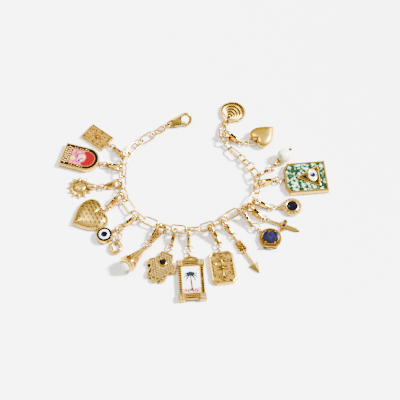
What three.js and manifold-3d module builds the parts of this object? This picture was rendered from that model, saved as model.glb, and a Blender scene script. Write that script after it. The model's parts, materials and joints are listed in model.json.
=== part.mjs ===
// A charm bracelet lying open on a flat surface, in millimetres, +Z up.
// A cable chain carries lobster clasps with sprung levers, and each clasp holds a charm on a jump ring.
import * as THREE from "three";
import { mergeVertices } from "three/addons/utils/BufferGeometryUtils.js";
import Module from "manifold-3d";

const wasm = await Module();
wasm.setup();

// Chain sizes
const CHAIN_WIRE = 0.9; // diameter of the link wire
const LONG_LINK = 9.2; // outer length of an oval link
const LONG_WIDTH = 4.8; // outer width of an oval link
const SHORT_LINK = 5.2;
const SHORT_WIDTH = 3.8;
const ROUND_LINK = 5.2; // outer diameter of a round connecting ring
const LINK_BITE = 0.18; // how far neighbouring link wires are soldered into each other
const ROLL_UP = 32; // degrees, a link whose outer side is raised
const ROLL_DOWN = -18; // degrees, a link whose outer side is lowered

// Clasp drawing, in the clasp's own plane with the hook's centre at the origin and the eye along +X.
// Most charms' clasps are smaller than it is drawn, and the main clasp larger.
const SMALL_CLASP = 0.88; // share of the drawing's size
const CLASP = 1;
const BIG_CLASP = 1.15;
const HOOK_R = 3.3; // outer radius of the hook
const HOOK_BORE = 2.05; // radius of the space inside the hook
const HOOK_HOLD = 0.75; // from the hook's centre back to the wire that it holds
const CLASP_T = 2; // thickness of the clasp
const EYE_X = 7.6; // from the hook's centre to the eye's
const EYE_R = 1.6;
const EYE_BORE = 0.95;
const EYE_T = 1.2;
const CHEEK_MARGIN = 0.9; // solid metal between the lever's slot and the eye's bore
const PIVOT_X = 3;
const PIVOT_Y = 0.75;
const PIN_R = 0.35;
const LEVER_T = 0.6;
const LEVER_GAP = 0.3; // clearance all round the lever
const LEVER_HUB = 1.1; // radius of the lever round its pin
const LEVER_REACH = 3.7; // from the pin to the end of the gate
const LEVER_ARM = 1; // width of the gate
const GATE_ANGLE = 146; // degrees, direction of the closed gate from the pin
const NUB_ANGLE = -80; // degrees, direction of the thumb nub from the pin
const NUB_REACH = 3.6;
const NUB_WIDTH = 0.9;

// Jump rings and eyelets
const RING_WIRE = 0.8;
const RING_R = 1.9; // radius of a jump ring at its wire's centre
const SMALL_RING_R = 1.6;
const LARGE_RING_R = 2.3;
const EYELET_R = 1.15; // radius of a charm's eyelet at its wire's centre
const EYELET_WIRE = 0.8;
const SOLDER = 0.2; // how far soldered wires run into each other
const INLAY_GAP = 0.3; // clearance round an inlay, a stone or a pearl's pin

// Charm sizes: length away from the eyelet, width across it and thickness
const PLAQUE = { length: 14.8, width: 10, thick: 1.9, rim: 0.9, sunk: 0.6, bud: 2.6 };
const ARCH = { length: 20.4, width: 14.2, thick: 2.8, rim: 0.8, sunk: 1.5 };
const SUN = { radius: 6.9, notch: 5, rays: 12, thick: 1.4, bail: 3.6, bailWide: 3.6, bailNarrow: 2 };
const HEART = { length: 18.4, width: 19.4, thick: 3.6, rim: 1.3, sunk: 0.5, stud: 1.3 };
const EVIL_EYE = { radius: 4.4, thick: 3.2, rim: 0.8, sunk: 1.2, neck: 1.6 };
const TEARDROP = { length: 8.4, width: 7.2, wire: 2.1 };
const TRUMPET = { length: 15.2, throat: 2.2, lift: 0.6, collar: 9.6, pearl: 5.1, flutes: 8 };
const HAMSA = { length: 17.8, width: 15.6, thick: 2, rim: 1, sunk: 0.5, stone: 1.9, stoneAt: 0.34 };
const PALM = { length: 22.8, width: 13.2, thick: 2.6, rim: 2.4, sunk: 1.3, block: 3.7, blockOut: 0.6, picture: 15.4, bail: 2.6 };
const OCTAGON = { length: 18.4, width: 13, clip: 2.2, thick: 2, rim: 0.9, sunk: 0.6 };
const ARROW = { length: 21.4, shaft: 1.5, head: 5.8, headLength: 6, feather: 8, featherWidth: 5.4, thick: 2 };
const DROP = { radius: 6, thick: 3, rim: 1, gem: 8.8, gemWidth: 7.8, gemHeight: 3, step: 1.6, standTurn: -52 };
const DAGGER = { length: 16.4, handle: 1.9, grip: 6, guard: 7.6, guardLength: 2.6, blade: 3.2, thick: 2 };
const MEDALLION = { radius: 5.2, thick: 2.2, stone: 2.8, bezel: 0.7, neck: 2.2, neckWidth: 3.4 };
const TAG = { length: 22.8, width: 18.6, clip: 4.2, thick: 3, rim: 1.1, sunk: 1.2, triangle: 12.8, spread: 6.9, bar: 1.2, eye: 8 };
const PEARL = { radius: 4, bore: 0.75, cap: 2.2, capHeight: 2.2, ball: 0.9, tail: 1.6 };
const PUFF = { length: 14.6, width: 13, thick: 5, linkTurn: 18, heartTurn: 50 };
const SHELL = { length: 13.8, width: 14.6, thick: 3.4, ribs: 7, hinge: 1.6, eyelet: 1.5, turn: 60 };

// The chain's route from the clasp to the shell, chosen by hand: X, Y and height
const ROUTE = [
  [-18.6, 46.6, 1.9],
  [-25, 42, 1.75],
  [-32.6, 36.3, 2],
  [-39, 29, 2.9],
  [-41.9, 20.1, 2.9],
  [-42, 7.6, 2.9],
  [-39.6, -2.6, 2.9],
  [-33.5, -11, 2.9],
  [-25, -15.8, 2.9],
  [-14.6, -19, 2.9],
  [-2.6, -19.5, 2.9],
  [6.8, -16.6, 2.9],
  [16.8, -10.4, 2.9],
  [24.9, -5.6, 2.9],
  [29.8, 1, 2.9],
  [30.8, 9, 2.9],
  [29.4, 16, 2.9],
  [24.6, 23.3, 2.6],
  [17.9, 30.3, 2],
  [14.2, 36, 2.8],
  [12.6, 42, 2.8],
  [13.9, 47.6, 1.9],
];

// The links along the route: o round ring, s short link, L long link
const LINKS = "ossLsLLLLLLLLLLLLLLLLLLossLsoLs";

// What each clasp hangs on: its link, the share along that link's straight side (-1 to 1), its heading and
// its charm's heading (degrees from +X), the clasp's lean from upright, its size and the jump ring's radius.
const HANGERS = [
  { name: "plaque", link: 6, share: -0.5, heading: 129, turn: 142, lean: 0, clasp: SMALL_CLASP, ring: SMALL_RING_R },
  { name: "arch", link: 7, share: -0.6, heading: 158, turn: 164, lean: 0, clasp: SMALL_CLASP, ring: SMALL_RING_R },
  { name: "sun", link: 8, share: 0.3, heading: -172, turn: 180, lean: 30, clasp: SMALL_CLASP, ring: SMALL_RING_R },
  { name: "heart", link: 9, share: 0.6, heading: -139, turn: -153, lean: 20, clasp: CLASP, ring: SMALL_RING_R },
  { name: "evil_eye", link: 11, share: 0, heading: -147, turn: -149, lean: 0, clasp: SMALL_CLASP, ring: RING_R },
  { name: "trumpet", link: 13, share: -0.3, heading: -129, turn: -128, lean: 30, clasp: CLASP, ring: RING_R },
  { name: "hamsa", link: 14, share: -0.6, heading: -104, turn: -113, lean: 0, clasp: SMALL_CLASP, ring: SMALL_RING_R },
  { name: "palm", link: 15, share: -0.9, heading: -91, turn: -86, lean: 0, clasp: SMALL_CLASP, ring: RING_R },
  { name: "octagon", link: 16, share: 0.6, heading: -60, turn: -82, lean: 0, clasp: CLASP, ring: RING_R },
  { name: "arrow", link: 17, share: 0.3, heading: -50, turn: -58, lean: 0, clasp: SMALL_CLASP, ring: SMALL_RING_R },
  { name: "drop", link: 19, share: -0.9, heading: -58, turn: -40, lean: 20, clasp: CLASP, ring: LARGE_RING_R },
  { name: "dagger", link: 19, share: 0.8, heading: -37, turn: -21, lean: 0, clasp: CLASP, ring: SMALL_RING_R },
  { name: "medallion", link: 20, share: -0.6, heading: -20, turn: 2, lean: 0, clasp: SMALL_CLASP, ring: SMALL_RING_R },
  { name: "tag", link: 21, share: 0.6, heading: 25, turn: 5, lean: 0, clasp: CLASP, ring: RING_R },
  { name: "pearl", link: 22, share: -0.3, heading: 34, turn: 43, lean: 25, clasp: SMALL_CLASP, ring: RING_R },
  { name: "puff", link: 29, share: -0.9, heading: -27, turn: -8, lean: 0, clasp: CLASP, ring: RING_R },
];
const MAIN_CLASP = { heading: -166, lean: 45, scale: BIG_CLASP };
const FIRST_ROLL = 140; // degrees, the first link stands on edge in the main clasp's eye
const GOLD = new THREE.MeshStandardMaterial({ color: 0xd4a64a, metalness: 1, roughness: 0.3 });

const LINK_KINDS = {
  L: { length: LONG_LINK, width: LONG_WIDTH },
  s: { length: SHORT_LINK, width: SHORT_WIDTH },
  o: { length: ROUND_LINK, width: ROUND_LINK },
};
const rad = THREE.MathUtils.degToRad;

// A closed three.js geometry, moved by a matrix, as a solid that can be joined and cut.
function solid(geometry, matrix = new THREE.Matrix4()) {
  const flat = geometry.index ? geometry.toNonIndexed() : geometry.clone();
  const points = new THREE.BufferGeometry().setAttribute("position", flat.getAttribute("position"));
  const merged = mergeVertices(points.applyMatrix4(matrix), 1e-4);
  const index = merged.index.array;
  const kept = [];
  for (let i = 0; i < index.length; i += 3) {
    const [a, b, c] = [index[i], index[i + 1], index[i + 2]];
    if (a !== b && b !== c && c !== a) kept.push(a, b, c);
  }
  return new wasm.Manifold(
    new wasm.Mesh({
      numProp: 3,
      vertProperties: merged.attributes.position.array,
      triVerts: new Uint32Array(kept),
    }),
  );
}

function join(parts) {
  return parts.reduce((all, part) => all.add(part));
}

// A named mesh of a solid.
function meshOf(name, body, material = GOLD) {
  const made = body.getMesh();
  const geometry = new THREE.BufferGeometry();
  geometry.setAttribute("position", new THREE.BufferAttribute(made.vertProperties, 3));
  geometry.setIndex(new THREE.BufferAttribute(made.triVerts, 1));
  geometry.computeVertexNormals();
  const mesh = new THREE.Mesh(geometry, material);
  mesh.name = name;
  return mesh;
}

function at(x, y, z) {
  return new THREE.Matrix4().makeTranslation(x, y, z);
}

function box(x0, x1, y0, y1, z0, z1) {
  const geometry = new THREE.BoxGeometry(x1 - x0, y1 - y0, z1 - z0);
  return solid(geometry, at((x0 + x1) / 2, (y0 + y1) / 2, (z0 + z1) / 2));
}

// A flat outline raised from z0 to z1.
function plate(shape, z0, z1, segments = 8) {
  const geometry = new THREE.ExtrudeGeometry(shape, {
    depth: z1 - z0,
    bevelEnabled: false,
    curveSegments: segments,
  });
  return solid(geometry, at(0, 0, z0));
}

function polygon(points) {
  return new THREE.Shape(points.map(([x, y]) => new THREE.Vector2(x, y)));
}

// A profile of [radius, height] rows turned round Z.
function turned(rows, segments, matrix) {
  const profile = rows.map(([r, z]) => new THREE.Vector2(r, z));
  const upright = new THREE.Matrix4().makeRotationX(Math.PI / 2);
  return solid(new THREE.LatheGeometry(profile, segments), matrix.clone().multiply(upright));
}

function ball(radius, x, y, z, scale = [1, 1, 1], segments = 8) {
  const geometry = new THREE.SphereGeometry(radius, segments, Math.ceil(segments * 0.6));
  return solid(geometry, at(x, y, z).multiply(new THREE.Matrix4().makeScale(...scale)));
}

// A round or long ring in the XY plane with its centre at the origin; lengths are outer sizes.
function ring(length, width, wire, matrix, sides = 10, wireSides = 5) {
  const geometry = new THREE.TorusGeometry((width - wire) / 2, wire / 2, wireSides, sides);
  const stretch = (length - width) / 2;
  const position = geometry.attributes.position;
  for (let i = 0; i < position.count; i++) {
    position.setX(i, position.getX(i) + Math.sign(position.getX(i)) * stretch);
  }
  return solid(geometry, matrix);
}

// Chain

// The links' places along the route, which is scaled to the chain's real length.
function chainLinks() {
  const kinds = [...LINKS].map((letter) => LINK_KINDS[letter]);
  const starts = [0];
  for (let i = 1; i < kinds.length; i++) {
    const reach = (kinds[i - 1].length + kinds[i].length) / 2;
    starts.push(starts[i - 1] + reach - 2 * CHAIN_WIRE + LINK_BITE);
  }
  const total = starts[starts.length - 1];
  const chosen = new THREE.CatmullRomCurve3(ROUTE.map((p) => new THREE.Vector3(...p)), false, "centripetal");
  const scale = total / chosen.getLength();
  const points = ROUTE.map(([x, y, z]) => new THREE.Vector3(x * scale, y * scale, z));
  const route = new THREE.CatmullRomCurve3(points, false, "centripetal");
  route.arcLengthDivisions = 2000;
  return kinds.map((kind, i) => {
    const centre = route.getPointAt(starts[i] / total);
    const along = route.getTangentAt(starts[i] / total);
    const level = new THREE.Vector3(along.y, -along.x, 0).normalize();
    const up = new THREE.Vector3().crossVectors(along, level).negate();
    const roll = rad(rollOf(i, kinds.length));
    const side = level.clone().multiplyScalar(Math.cos(roll)).addScaledVector(up, Math.sin(roll));
    return { ...kind, centre, along, side };
  });
}

// The first link stands on edge in the clasp's eye and the last lies flat in the shell's.
function rollOf(i, count) {
  if (i === 0) return FIRST_ROLL;
  if (i === count - 1) return 0;
  return i % 2 ? ROLL_UP : ROLL_DOWN;
}

function linkSolid(link) {
  const normal = new THREE.Vector3().crossVectors(link.along, link.side);
  const frame = new THREE.Matrix4().makeBasis(link.along, link.side, normal).setPosition(link.centre);
  return ring(link.length, link.width, CHAIN_WIRE, frame);
}

// The middle of the link's outer wire, moved along its straight side.
function outerWire(link, share) {
  const straight = (link.length - link.width) / 2;
  return link.centre
    .clone()
    .addScaledVector(link.side, (link.width - CHAIN_WIRE) / 2)
    .addScaledVector(link.along, share * straight);
}

// Lobster clasp

// The angle on a circle round the hook's centre at which the hook's tip clears the gate.
function tipAngle(radius) {
  const reach = LEVER_REACH + LEVER_GAP;
  const pivot = Math.hypot(PIVOT_X, PIVOT_Y);
  const cosine = (radius ** 2 + pivot ** 2 - reach ** 2) / (2 * radius * pivot);
  return Math.atan2(PIVOT_Y, PIVOT_X) + Math.acos(cosine);
}

function claspOutline() {
  const shape = new THREE.Shape();
  shape.absarc(0, 0, HOOK_R, tipAngle(HOOK_R), rad(264), false);
  shape.lineTo(EYE_X * 0.55, -(HOOK_R + EYE_R) * 0.48);
  shape.absarc(EYE_X, 0, EYE_R, rad(-95), rad(95), false);
  shape.lineTo(EYE_X * 0.55, (HOOK_R + EYE_R) * 0.45);
  shape.lineTo(HOOK_R * 0.72, HOOK_R * 0.76);
  shape.absarc(0, 0, HOOK_BORE, rad(31), tipAngle(HOOK_BORE), true);
  shape.closePath();
  return shape;
}

function claspBody() {
  const half = CLASP_T / 2;
  const slot = LEVER_T / 2 + LEVER_GAP;
  const slotEnd = EYE_X - EYE_BORE - CHEEK_MARGIN;
  const shape = claspOutline();
  const tall = 2 * HOOK_R;
  const pin = new THREE.CylinderGeometry(PIN_R, PIN_R, CLASP_T - 2 * SOLDER, 6);
  const bore = new THREE.CylinderGeometry(EYE_BORE, EYE_BORE, 2 * CLASP_T, 8);
  const upright = new THREE.Matrix4().makeRotationX(Math.PI / 2);
  return plate(shape, -half, half, 4)
    .subtract(box(PIVOT_X - LEVER_HUB - LEVER_GAP, slotEnd - CHEEK_MARGIN / 2, -tall, tall, -slot, slot))
    .subtract(box(slotEnd, EYE_X + 2 * EYE_R, -tall, tall, EYE_T / 2, CLASP_T))
    .subtract(box(slotEnd, EYE_X + 2 * EYE_R, -tall, tall, -CLASP_T, -EYE_T / 2))
    .subtract(solid(bore, at(EYE_X, 0, 0).multiply(upright)))
    .add(solid(pin, at(PIVOT_X, PIVOT_Y, 0).multiply(upright)));
}

// The gate, its hub and the thumb nub, closed. Offsets are to the left of each direction.
function leverSolid() {
  const along = (angle, reach, offset) => {
    const a = rad(angle);
    return [
      PIVOT_X + reach * Math.cos(a) - offset * Math.sin(a),
      PIVOT_Y + reach * Math.sin(a) + offset * Math.cos(a),
    ];
  };
  const arm = LEVER_ARM / 2;
  const nub = NUB_WIDTH / 2;
  const gateEnd = Math.sqrt(LEVER_REACH ** 2 - arm ** 2);
  const outline = polygon([
    along(NUB_ANGLE, LEVER_HUB, -nub),
    along(NUB_ANGLE, NUB_REACH, -nub / 2),
    along(NUB_ANGLE, NUB_REACH, nub / 2),
    along(NUB_ANGLE, LEVER_HUB, nub),
    along(0, LEVER_HUB, 0),
    along(70, LEVER_HUB, 0),
    along(GATE_ANGLE, gateEnd, -arm),
    along(GATE_ANGLE, LEVER_REACH, 0),
    along(GATE_ANGLE, gateEnd, arm),
    along(GATE_ANGLE + 60, LEVER_HUB, 0),
  ]);
  const hole = new THREE.Path();
  hole.absarc(PIVOT_X, PIVOT_Y, PIN_R + LEVER_GAP, 0, 2 * Math.PI, true);
  outline.holes.push(hole);
  return plate(outline, -LEVER_T / 2, LEVER_T / 2, 3);
}

// The clasp's own frame in space: hook over the held wire, gate side down, resting on hook and eye.
function claspFrame(hold, heading, lean, scale) {
  const tilt = rad(lean);
  const hookHeight = HOOK_R * Math.cos(tilt) + (CLASP_T / 2) * Math.abs(Math.sin(tilt));
  const eyeHeight = EYE_R * Math.cos(tilt) + (CLASP_T / 2) * Math.abs(Math.sin(tilt));
  const pitch = Math.asin((hookHeight - eyeHeight) / EYE_X);
  return new THREE.Matrix4()
    .makeTranslation(hold.x, hold.y, scale * (hookHeight + HOOK_HOLD * Math.sin(pitch)))
    .multiply(new THREE.Matrix4().makeScale(scale, scale, scale))
    .multiply(new THREE.Matrix4().makeRotationZ(rad(heading)))
    .multiply(new THREE.Matrix4().makeRotationY(pitch))
    .multiply(new THREE.Matrix4().makeTranslation(HOOK_HOLD, 0, 0))
    .multiply(new THREE.Matrix4().makeRotationX(rad(lean - 90)));
}

function addClasp(group, name, frame, body, lever) {
  const clasp = new THREE.Group();
  clasp.applyMatrix4(frame);
  clasp.add(meshOf(name + "_clasp", body), meshOf(name + "_lever", lever));
  group.add(clasp);
}

// Charms: each list of solids has its eyelet's centre at X 0, Y 0, runs along +X and rests on z = 0.
// The second value holds inlays and stones, which are bodies of their own.

// The eyelet stands on edge round the far side of the jump ring.
function eyelet(height, radius = EYELET_R) {
  const standing = at(0, 0, height).multiply(new THREE.Matrix4().makeRotationX(Math.PI / 2));
  return ring(2 * radius + EYELET_WIRE, 2 * radius + EYELET_WIRE, EYELET_WIRE, standing, 6, 4);
}

// A tray: an outline with a raised rim round a sunken floor.
function tray(outline, inner, thick, sunk) {
  return plate(outline, 0, thick).subtract(plate(inner, thick - sunk, 2 * thick));
}

function leaf(length, width, height, x, y, z, angle) {
  const place = at(x, y, z)
    .multiply(new THREE.Matrix4().makeRotationZ(rad(angle)))
    .multiply(new THREE.Matrix4().makeScale(length / 2, width / 2, height));
  return solid(new THREE.OctahedronGeometry(1, 0), place);
}

// Leaves and buds round an oval, as on cast scrollwork.
function wreath(cx, length, width, z, count) {
  return Array.from({ length: count }, (_, i) => {
    const a = (2 * Math.PI * (i + 0.5)) / count;
    const x = cx + (length / 2) * Math.cos(a);
    const y = (width / 2) * Math.sin(a);
    const facing = THREE.MathUtils.radToDeg(Math.atan2(width * Math.cos(a), -length * Math.sin(a)));
    return leaf(length * 0.32, length * 0.16, 0.55, x, y, z, facing + 24);
  });
}

function rectangle(x0, x1, half) {
  return polygon([[x0, -half], [x1, -half], [x1, half], [x0, half]]);
}

const CHARM_START = EYELET_R + SOLDER; // where a charm's body meets its eyelet

function plaque() {
  const { length, width, thick, rim, sunk, bud } = PLAQUE;
  const x0 = CHARM_START;
  const outer = rectangle(x0, x0 + length, width / 2);
  const inner = rectangle(x0 + rim, x0 + length - rim, width / 2 - rim);
  const floor = thick - sunk;
  const middle = x0 + length / 2;
  return {
    gold: [
      tray(outer, inner, thick, sunk),
      ...wreath(middle, length * 0.52, width * 0.46, floor, 6),
      leaf(bud, bud * 0.6, sunk, middle, 0, floor, 0),
    ],
  };
}

function archOutline(inset) {
  const { length, width } = ARCH;
  const radius = width / 2;
  const shape = new THREE.Shape();
  const centre = CHARM_START + radius;
  shape.absarc(centre, 0, radius - inset, rad(90), rad(270), false);
  shape.lineTo(CHARM_START + length - inset, -radius + inset);
  shape.lineTo(CHARM_START + length - inset, radius - inset);
  shape.closePath();
  return shape;
}

function arch() {
  const { thick, rim, sunk } = ARCH;
  return {
    gold: [tray(archOutline(0), archOutline(rim), thick, sunk)],
    inlays: { arch_enamel: plate(archOutline(rim + INLAY_GAP), thick - sunk + INLAY_GAP, thick) },
  };
}

function sun() {
  const { radius, notch, rays, thick, bail, bailWide, bailNarrow } = SUN;
  const centre = CHARM_START + bail + notch;
  const points = Array.from({ length: 2 * rays }, (_, i) => {
    const a = (Math.PI * i) / rays;
    const r = i % 2 ? notch : radius;
    return [centre + r * Math.cos(a), r * Math.sin(a)];
  });
  const along = at(CHARM_START, 0, bailWide / 2).multiply(new THREE.Matrix4().makeRotationY(Math.PI / 2));
  const rows = [[0, -0.6], [bailNarrow / 2, -0.6], [bailWide / 2, bail * 0.55], [bailNarrow / 2, bail + 1], [0, bail + 1]];
  return {
    gold: [
      plate(polygon(points), 0, thick),
      ball(notch * 0.82, centre, 0, thick, [1, 1, 0.34]),
      turned(rows, 8, along),
    ],
  };
}

function heartOutline(x0, length, width) {
  const [l, w] = [length, width];
  const shape = new THREE.Shape();
  const notch = x0 + 0.1 * l;
  shape.moveTo(notch, 0);
  shape.bezierCurveTo(x0 - 0.06 * l, -0.12 * w, x0 - 0.06 * l, -0.5 * w, x0 + 0.3 * l, -0.5 * w);
  shape.bezierCurveTo(x0 + 0.58 * l, -0.5 * w, x0 + 0.82 * l, -0.17 * w, x0 + l, 0);
  shape.bezierCurveTo(x0 + 0.82 * l, 0.17 * w, x0 + 0.58 * l, 0.5 * w, x0 + 0.3 * l, 0.5 * w);
  shape.bezierCurveTo(x0 - 0.06 * l, 0.5 * w, x0 - 0.06 * l, 0.12 * w, notch, 0);
  return shape;
}

const STUD_ROWS = [4, 4, 3, 2]; // studs in each row across the heart, from its notch to its tip

function heart() {
  const { length, width, thick, rim, sunk, stud } = HEART;
  const x0 = CHARM_START - 0.1 * length;
  const inner = heartOutline(x0 + rim, length - 2.4 * rim, width - 2 * rim);
  const studs = [];
  const pitch = 2.3 * stud;
  for (let i = 0; i < STUD_ROWS.length; i++) {
    const count = STUD_ROWS[i];
    for (let j = 0; j < count; j++) {
      const x = x0 + 0.24 * length + i * pitch;
      const y = (j - (count - 1) / 2) * pitch;
      const point = new THREE.ConeGeometry(stud, 2.6 * sunk, 5);
      studs.push(solid(point, at(x, y, thick - sunk).multiply(new THREE.Matrix4().makeRotationX(Math.PI / 2))));
    }
  }
  return { gold: [tray(heartOutline(x0, length, width), inner, thick, sunk), ...studs] };
}

function evilEye() {
  const { radius, thick, rim, sunk, neck } = EVIL_EYE;
  const centre = CHARM_START + neck + radius;
  const place = at(centre, 0, 0);
  const bore = radius - rim;
  const rows = [[0, 0], [radius, 0], [radius, thick], [bore, thick], [bore, thick - sunk], [0, thick - sunk]];
  const glass = bore - INLAY_GAP;
  const low = thick - sunk + INLAY_GAP;
  return {
    gold: [turned(rows, 12, place), box(EYELET_R, centre - bore, -1, 1, 0.6, thick * 0.7)],
    inlays: {
      evil_eye_glass: turned([[0, low], [glass, low], [glass, thick], [glass * 0.5, thick + 0.35], [0, thick + 0.45]], 12, place),
    },
  };
}

function trumpet() {
  const { length, throat, lift, collar, pearl, flutes } = TRUMPET;
  const mouth = collar / 2;
  const rise = Math.asin((mouth - throat / 2 - lift + 0.2) / length);
  const along = at(EYELET_R, 0, throat / 2 + lift)
    .multiply(new THREE.Matrix4().makeRotationY(Math.PI / 2 - rise));
  const rows = [
    [0, -0.5],
    [throat / 2, -0.5],
    [throat * 0.62, length * 0.3],
    [mouth * 0.55, length * 0.62],
    [mouth * 0.86, length * 0.88],
    [mouth, length * 0.92],
    [mouth, length],
    [pearl / 2, length],
    [pearl / 2 - 0.4, length - 0.8],
    [0, length - 0.8],
  ];
  const stone = ball(pearl / 2, 0, 0, 0);
  return { gold: [turned(rows, flutes, along), stone.transform(along.clone().multiply(at(0, 0, length + 0.1)).elements)] };
}

// Half of a hand with two thumbs: share of the length, share of the half width
const HAND = [
  [0, 0.34],
  [0.05, 0.46],
  [0.24, 0.56],
  [0.34, 0.9],
  [0.46, 1],
  [0.58, 0.92],
  [0.54, 0.68],
  [0.82, 0.66],
  [0.92, 0.54],
  [0.93, 0.38],
  [0.9, 0.3],
  [0.98, 0.18],
  [1, 0],
];

function handOutline(x0, length, width) {
  const upper = HAND.map(([x, y]) => [x0 + x * length, (y * width) / 2]);
  const lower = upper.slice(0, -1).map(([x, y]) => [x, -y]);
  return polygon([...lower, ...upper.reverse()]);
}

function hamsa() {
  const { length, width, thick, rim, sunk, stone, stoneAt } = HAMSA;
  const x0 = CHARM_START;
  const bezel = stone + rim * 0.6;
  const rows = [[0, thick * 0.25], [bezel, thick * 0.25], [bezel, thick], [stone, thick * 1.25], [stone * 0.6, thick * 1.45], [0, thick * 1.45]];
  const inner = handOutline(x0 + rim, length - 2 * rim, width - 2.6 * rim);
  return {
    gold: [tray(handOutline(x0, length, width), inner, thick, sunk), turned(rows, 10, at(x0 + stoneAt * length, 0, 0))],
  };
}

function palm() {
  const { length, width, thick, rim, sunk, block, blockOut, picture, bail } = PALM;
  const x0 = CHARM_START + bail;
  const half = width / 2;
  const x1 = x0 + length;
  const near = x0 + (length - picture) / 2;
  const inner = rectangle(near, near + picture, half - rim);
  const hanger = polygon([
    [CHARM_START - SOLDER, -1],
    [x0 + 1, -half * 0.62],
    [x0 + 1, half * 0.62],
    [CHARM_START - SOLDER, 1],
  ]);
  const corners = [];
  for (const start of [x0, x1 - block]) {
    for (const side of [-1, 1]) {
      const y = side * (half - block / 2 + blockOut);
      corners.push(box(start, start + block, y - block / 2, y + block / 2, 0, thick + 0.3));
    }
  }
  const gap = INLAY_GAP;
  const shape = rectangle(near + gap, near + picture - gap, half - rim - gap);
  const body = tray(rectangle(x0 + 0.8, x1 - 0.8, half), inner, thick, sunk);
  return {
    gold: [body, plate(hanger, 0.3, thick - 0.4), ...corners],
    inlays: { palm_picture: plate(shape, thick - sunk + gap, thick - 0.3) },
  };
}

function octagonOutline(inset) {
  const { length, width, clip } = OCTAGON;
  const x0 = CHARM_START + inset;
  const x1 = CHARM_START + length - inset;
  const h = width / 2 - inset;
  const c = clip - inset * 0.6;
  return polygon([[x0 + c, -h], [x1 - c, -h], [x1, -h + c], [x1, h - c], [x1 - c, h], [x0 + c, h], [x0, h - c], [x0, -h + c]]);
}

function octagon() {
  const { length, width, thick, rim, sunk } = OCTAGON;
  const middle = CHARM_START + length / 2;
  return {
    gold: [
      tray(octagonOutline(0), octagonOutline(rim), thick, sunk),
      ...wreath(middle, length * 0.5, width * 0.5, thick - sunk, 6),
    ],
  };
}

function arrow() {
  const { length, shaft, head, headLength, feather, featherWidth, thick } = ARROW;
  const x0 = CHARM_START;
  const x1 = x0 + length;
  const half = featherWidth / 2;
  const fletch = polygon([
    [x0, -half * 0.55],
    [x0 + feather * 0.75, -half * 0.55 - shaft / 2],
    [x0 + feather, -shaft / 2],
    [x0 + feather, shaft / 2],
    [x0 + feather * 0.75, half * 0.55 + shaft / 2],
    [x0, half * 0.55],
  ]);
  const point = polygon([
    [x1 - headLength, -head / 2],
    [x1, 0],
    [x1 - headLength, head / 2],
    [x1 - headLength * 0.7, 0],
  ]);
  const rod = new THREE.CylinderGeometry(shaft / 2, shaft / 2, length - headLength * 0.6 - 1, 8);
  const turn = new THREE.Matrix4().makeRotationZ(Math.PI / 2);
  return {
    gold: [
      plate(fletch, 0.2, thick - 0.3),
      plate(point, 0.1, thick),
      solid(rod, at(x0 + (length - headLength * 0.6) / 2, 0, shaft / 2 + 0.1).multiply(turn)),
    ],
  };
}

function drop() {
  const { radius, thick, rim, gem, gemWidth, gemHeight, step, standTurn } = DROP;
  const centre = CHARM_START + radius - 0.2;
  const place = at(centre, 0, 0);
  const base = thick - step;
  const rows = [[0, 0], [radius * 0.9, 0], [radius, base], [radius, base + 0.6], [radius - rim, base + 0.6], [radius - rim, base - 0.4], [0, base - 0.4]];
  const stretch = (x, y) => new THREE.Matrix4().makeScale(x, y, 1);
  const girdle = gem / 2;
  const low = base - 0.4 + INLAY_GAP;
  const stone = [[0, low], [girdle * 0.5, low], [girdle, low + gemHeight * 0.45], [girdle, low + gemHeight * 0.55], [girdle * 0.62, low + gemHeight], [0, low + gemHeight]];
  const oval = at(centre, 0, 0)
    .multiply(new THREE.Matrix4().makeRotationZ(rad(standTurn)))
    .multiply(stretch(gemWidth / gem, 1));
  const near = gemWidth / 2 + INLAY_GAP;
  const shelf = polygon([
    [near, -gemWidth * 0.36],
    [near + step, -gemWidth * 0.46],
    [near + step, gemWidth * 0.46],
    [near, gemWidth * 0.36],
  ]);
  const stand = plate(shelf, SOLDER, thick).transform(
    at(centre, 0, 0).multiply(new THREE.Matrix4().makeRotationZ(rad(standTurn))).elements,
  );
  return {
    gold: [turned(rows, 12, place), stand],
    inlays: { drop_gem: turned(stone, 8, oval.multiply(new THREE.Matrix4().makeRotationZ(Math.PI / 8))) },
  };
}

function dagger() {
  const { length, handle, grip, guard, guardLength, blade, thick } = DAGGER;
  const x0 = CHARM_START;
  const along = at(x0 - 0.3, 0, handle / 2 + 0.1).multiply(new THREE.Matrix4().makeRotationY(Math.PI / 2));
  const rows = [[0, 0], [handle * 0.35, 0], [handle / 2, grip * 0.3], [handle * 0.4, grip * 0.7], [handle / 2, grip + 0.6], [0, grip + 0.6]];
  const g0 = x0 + grip;
  const cross = polygon([
    [g0, -guard / 2 + 0.6],
    [g0 + guardLength * 0.5, -guard / 2],
    [g0 + guardLength, -guard / 2 + 0.9],
    [g0 + guardLength, guard / 2 - 0.9],
    [g0 + guardLength * 0.5, guard / 2],
    [g0, guard / 2 - 0.6],
  ]);
  const edge = polygon([
    [g0 + guardLength * 0.6, -blade / 2],
    [x0 + length * 0.86, -blade * 0.4],
    [x0 + length, 0],
    [x0 + length * 0.86, blade * 0.4],
    [g0 + guardLength * 0.6, blade / 2],
  ]);
  return { gold: [turned(rows, 8, along), plate(cross, 0, thick), plate(edge, 0.2, thick * 0.75)] };
}

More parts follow.
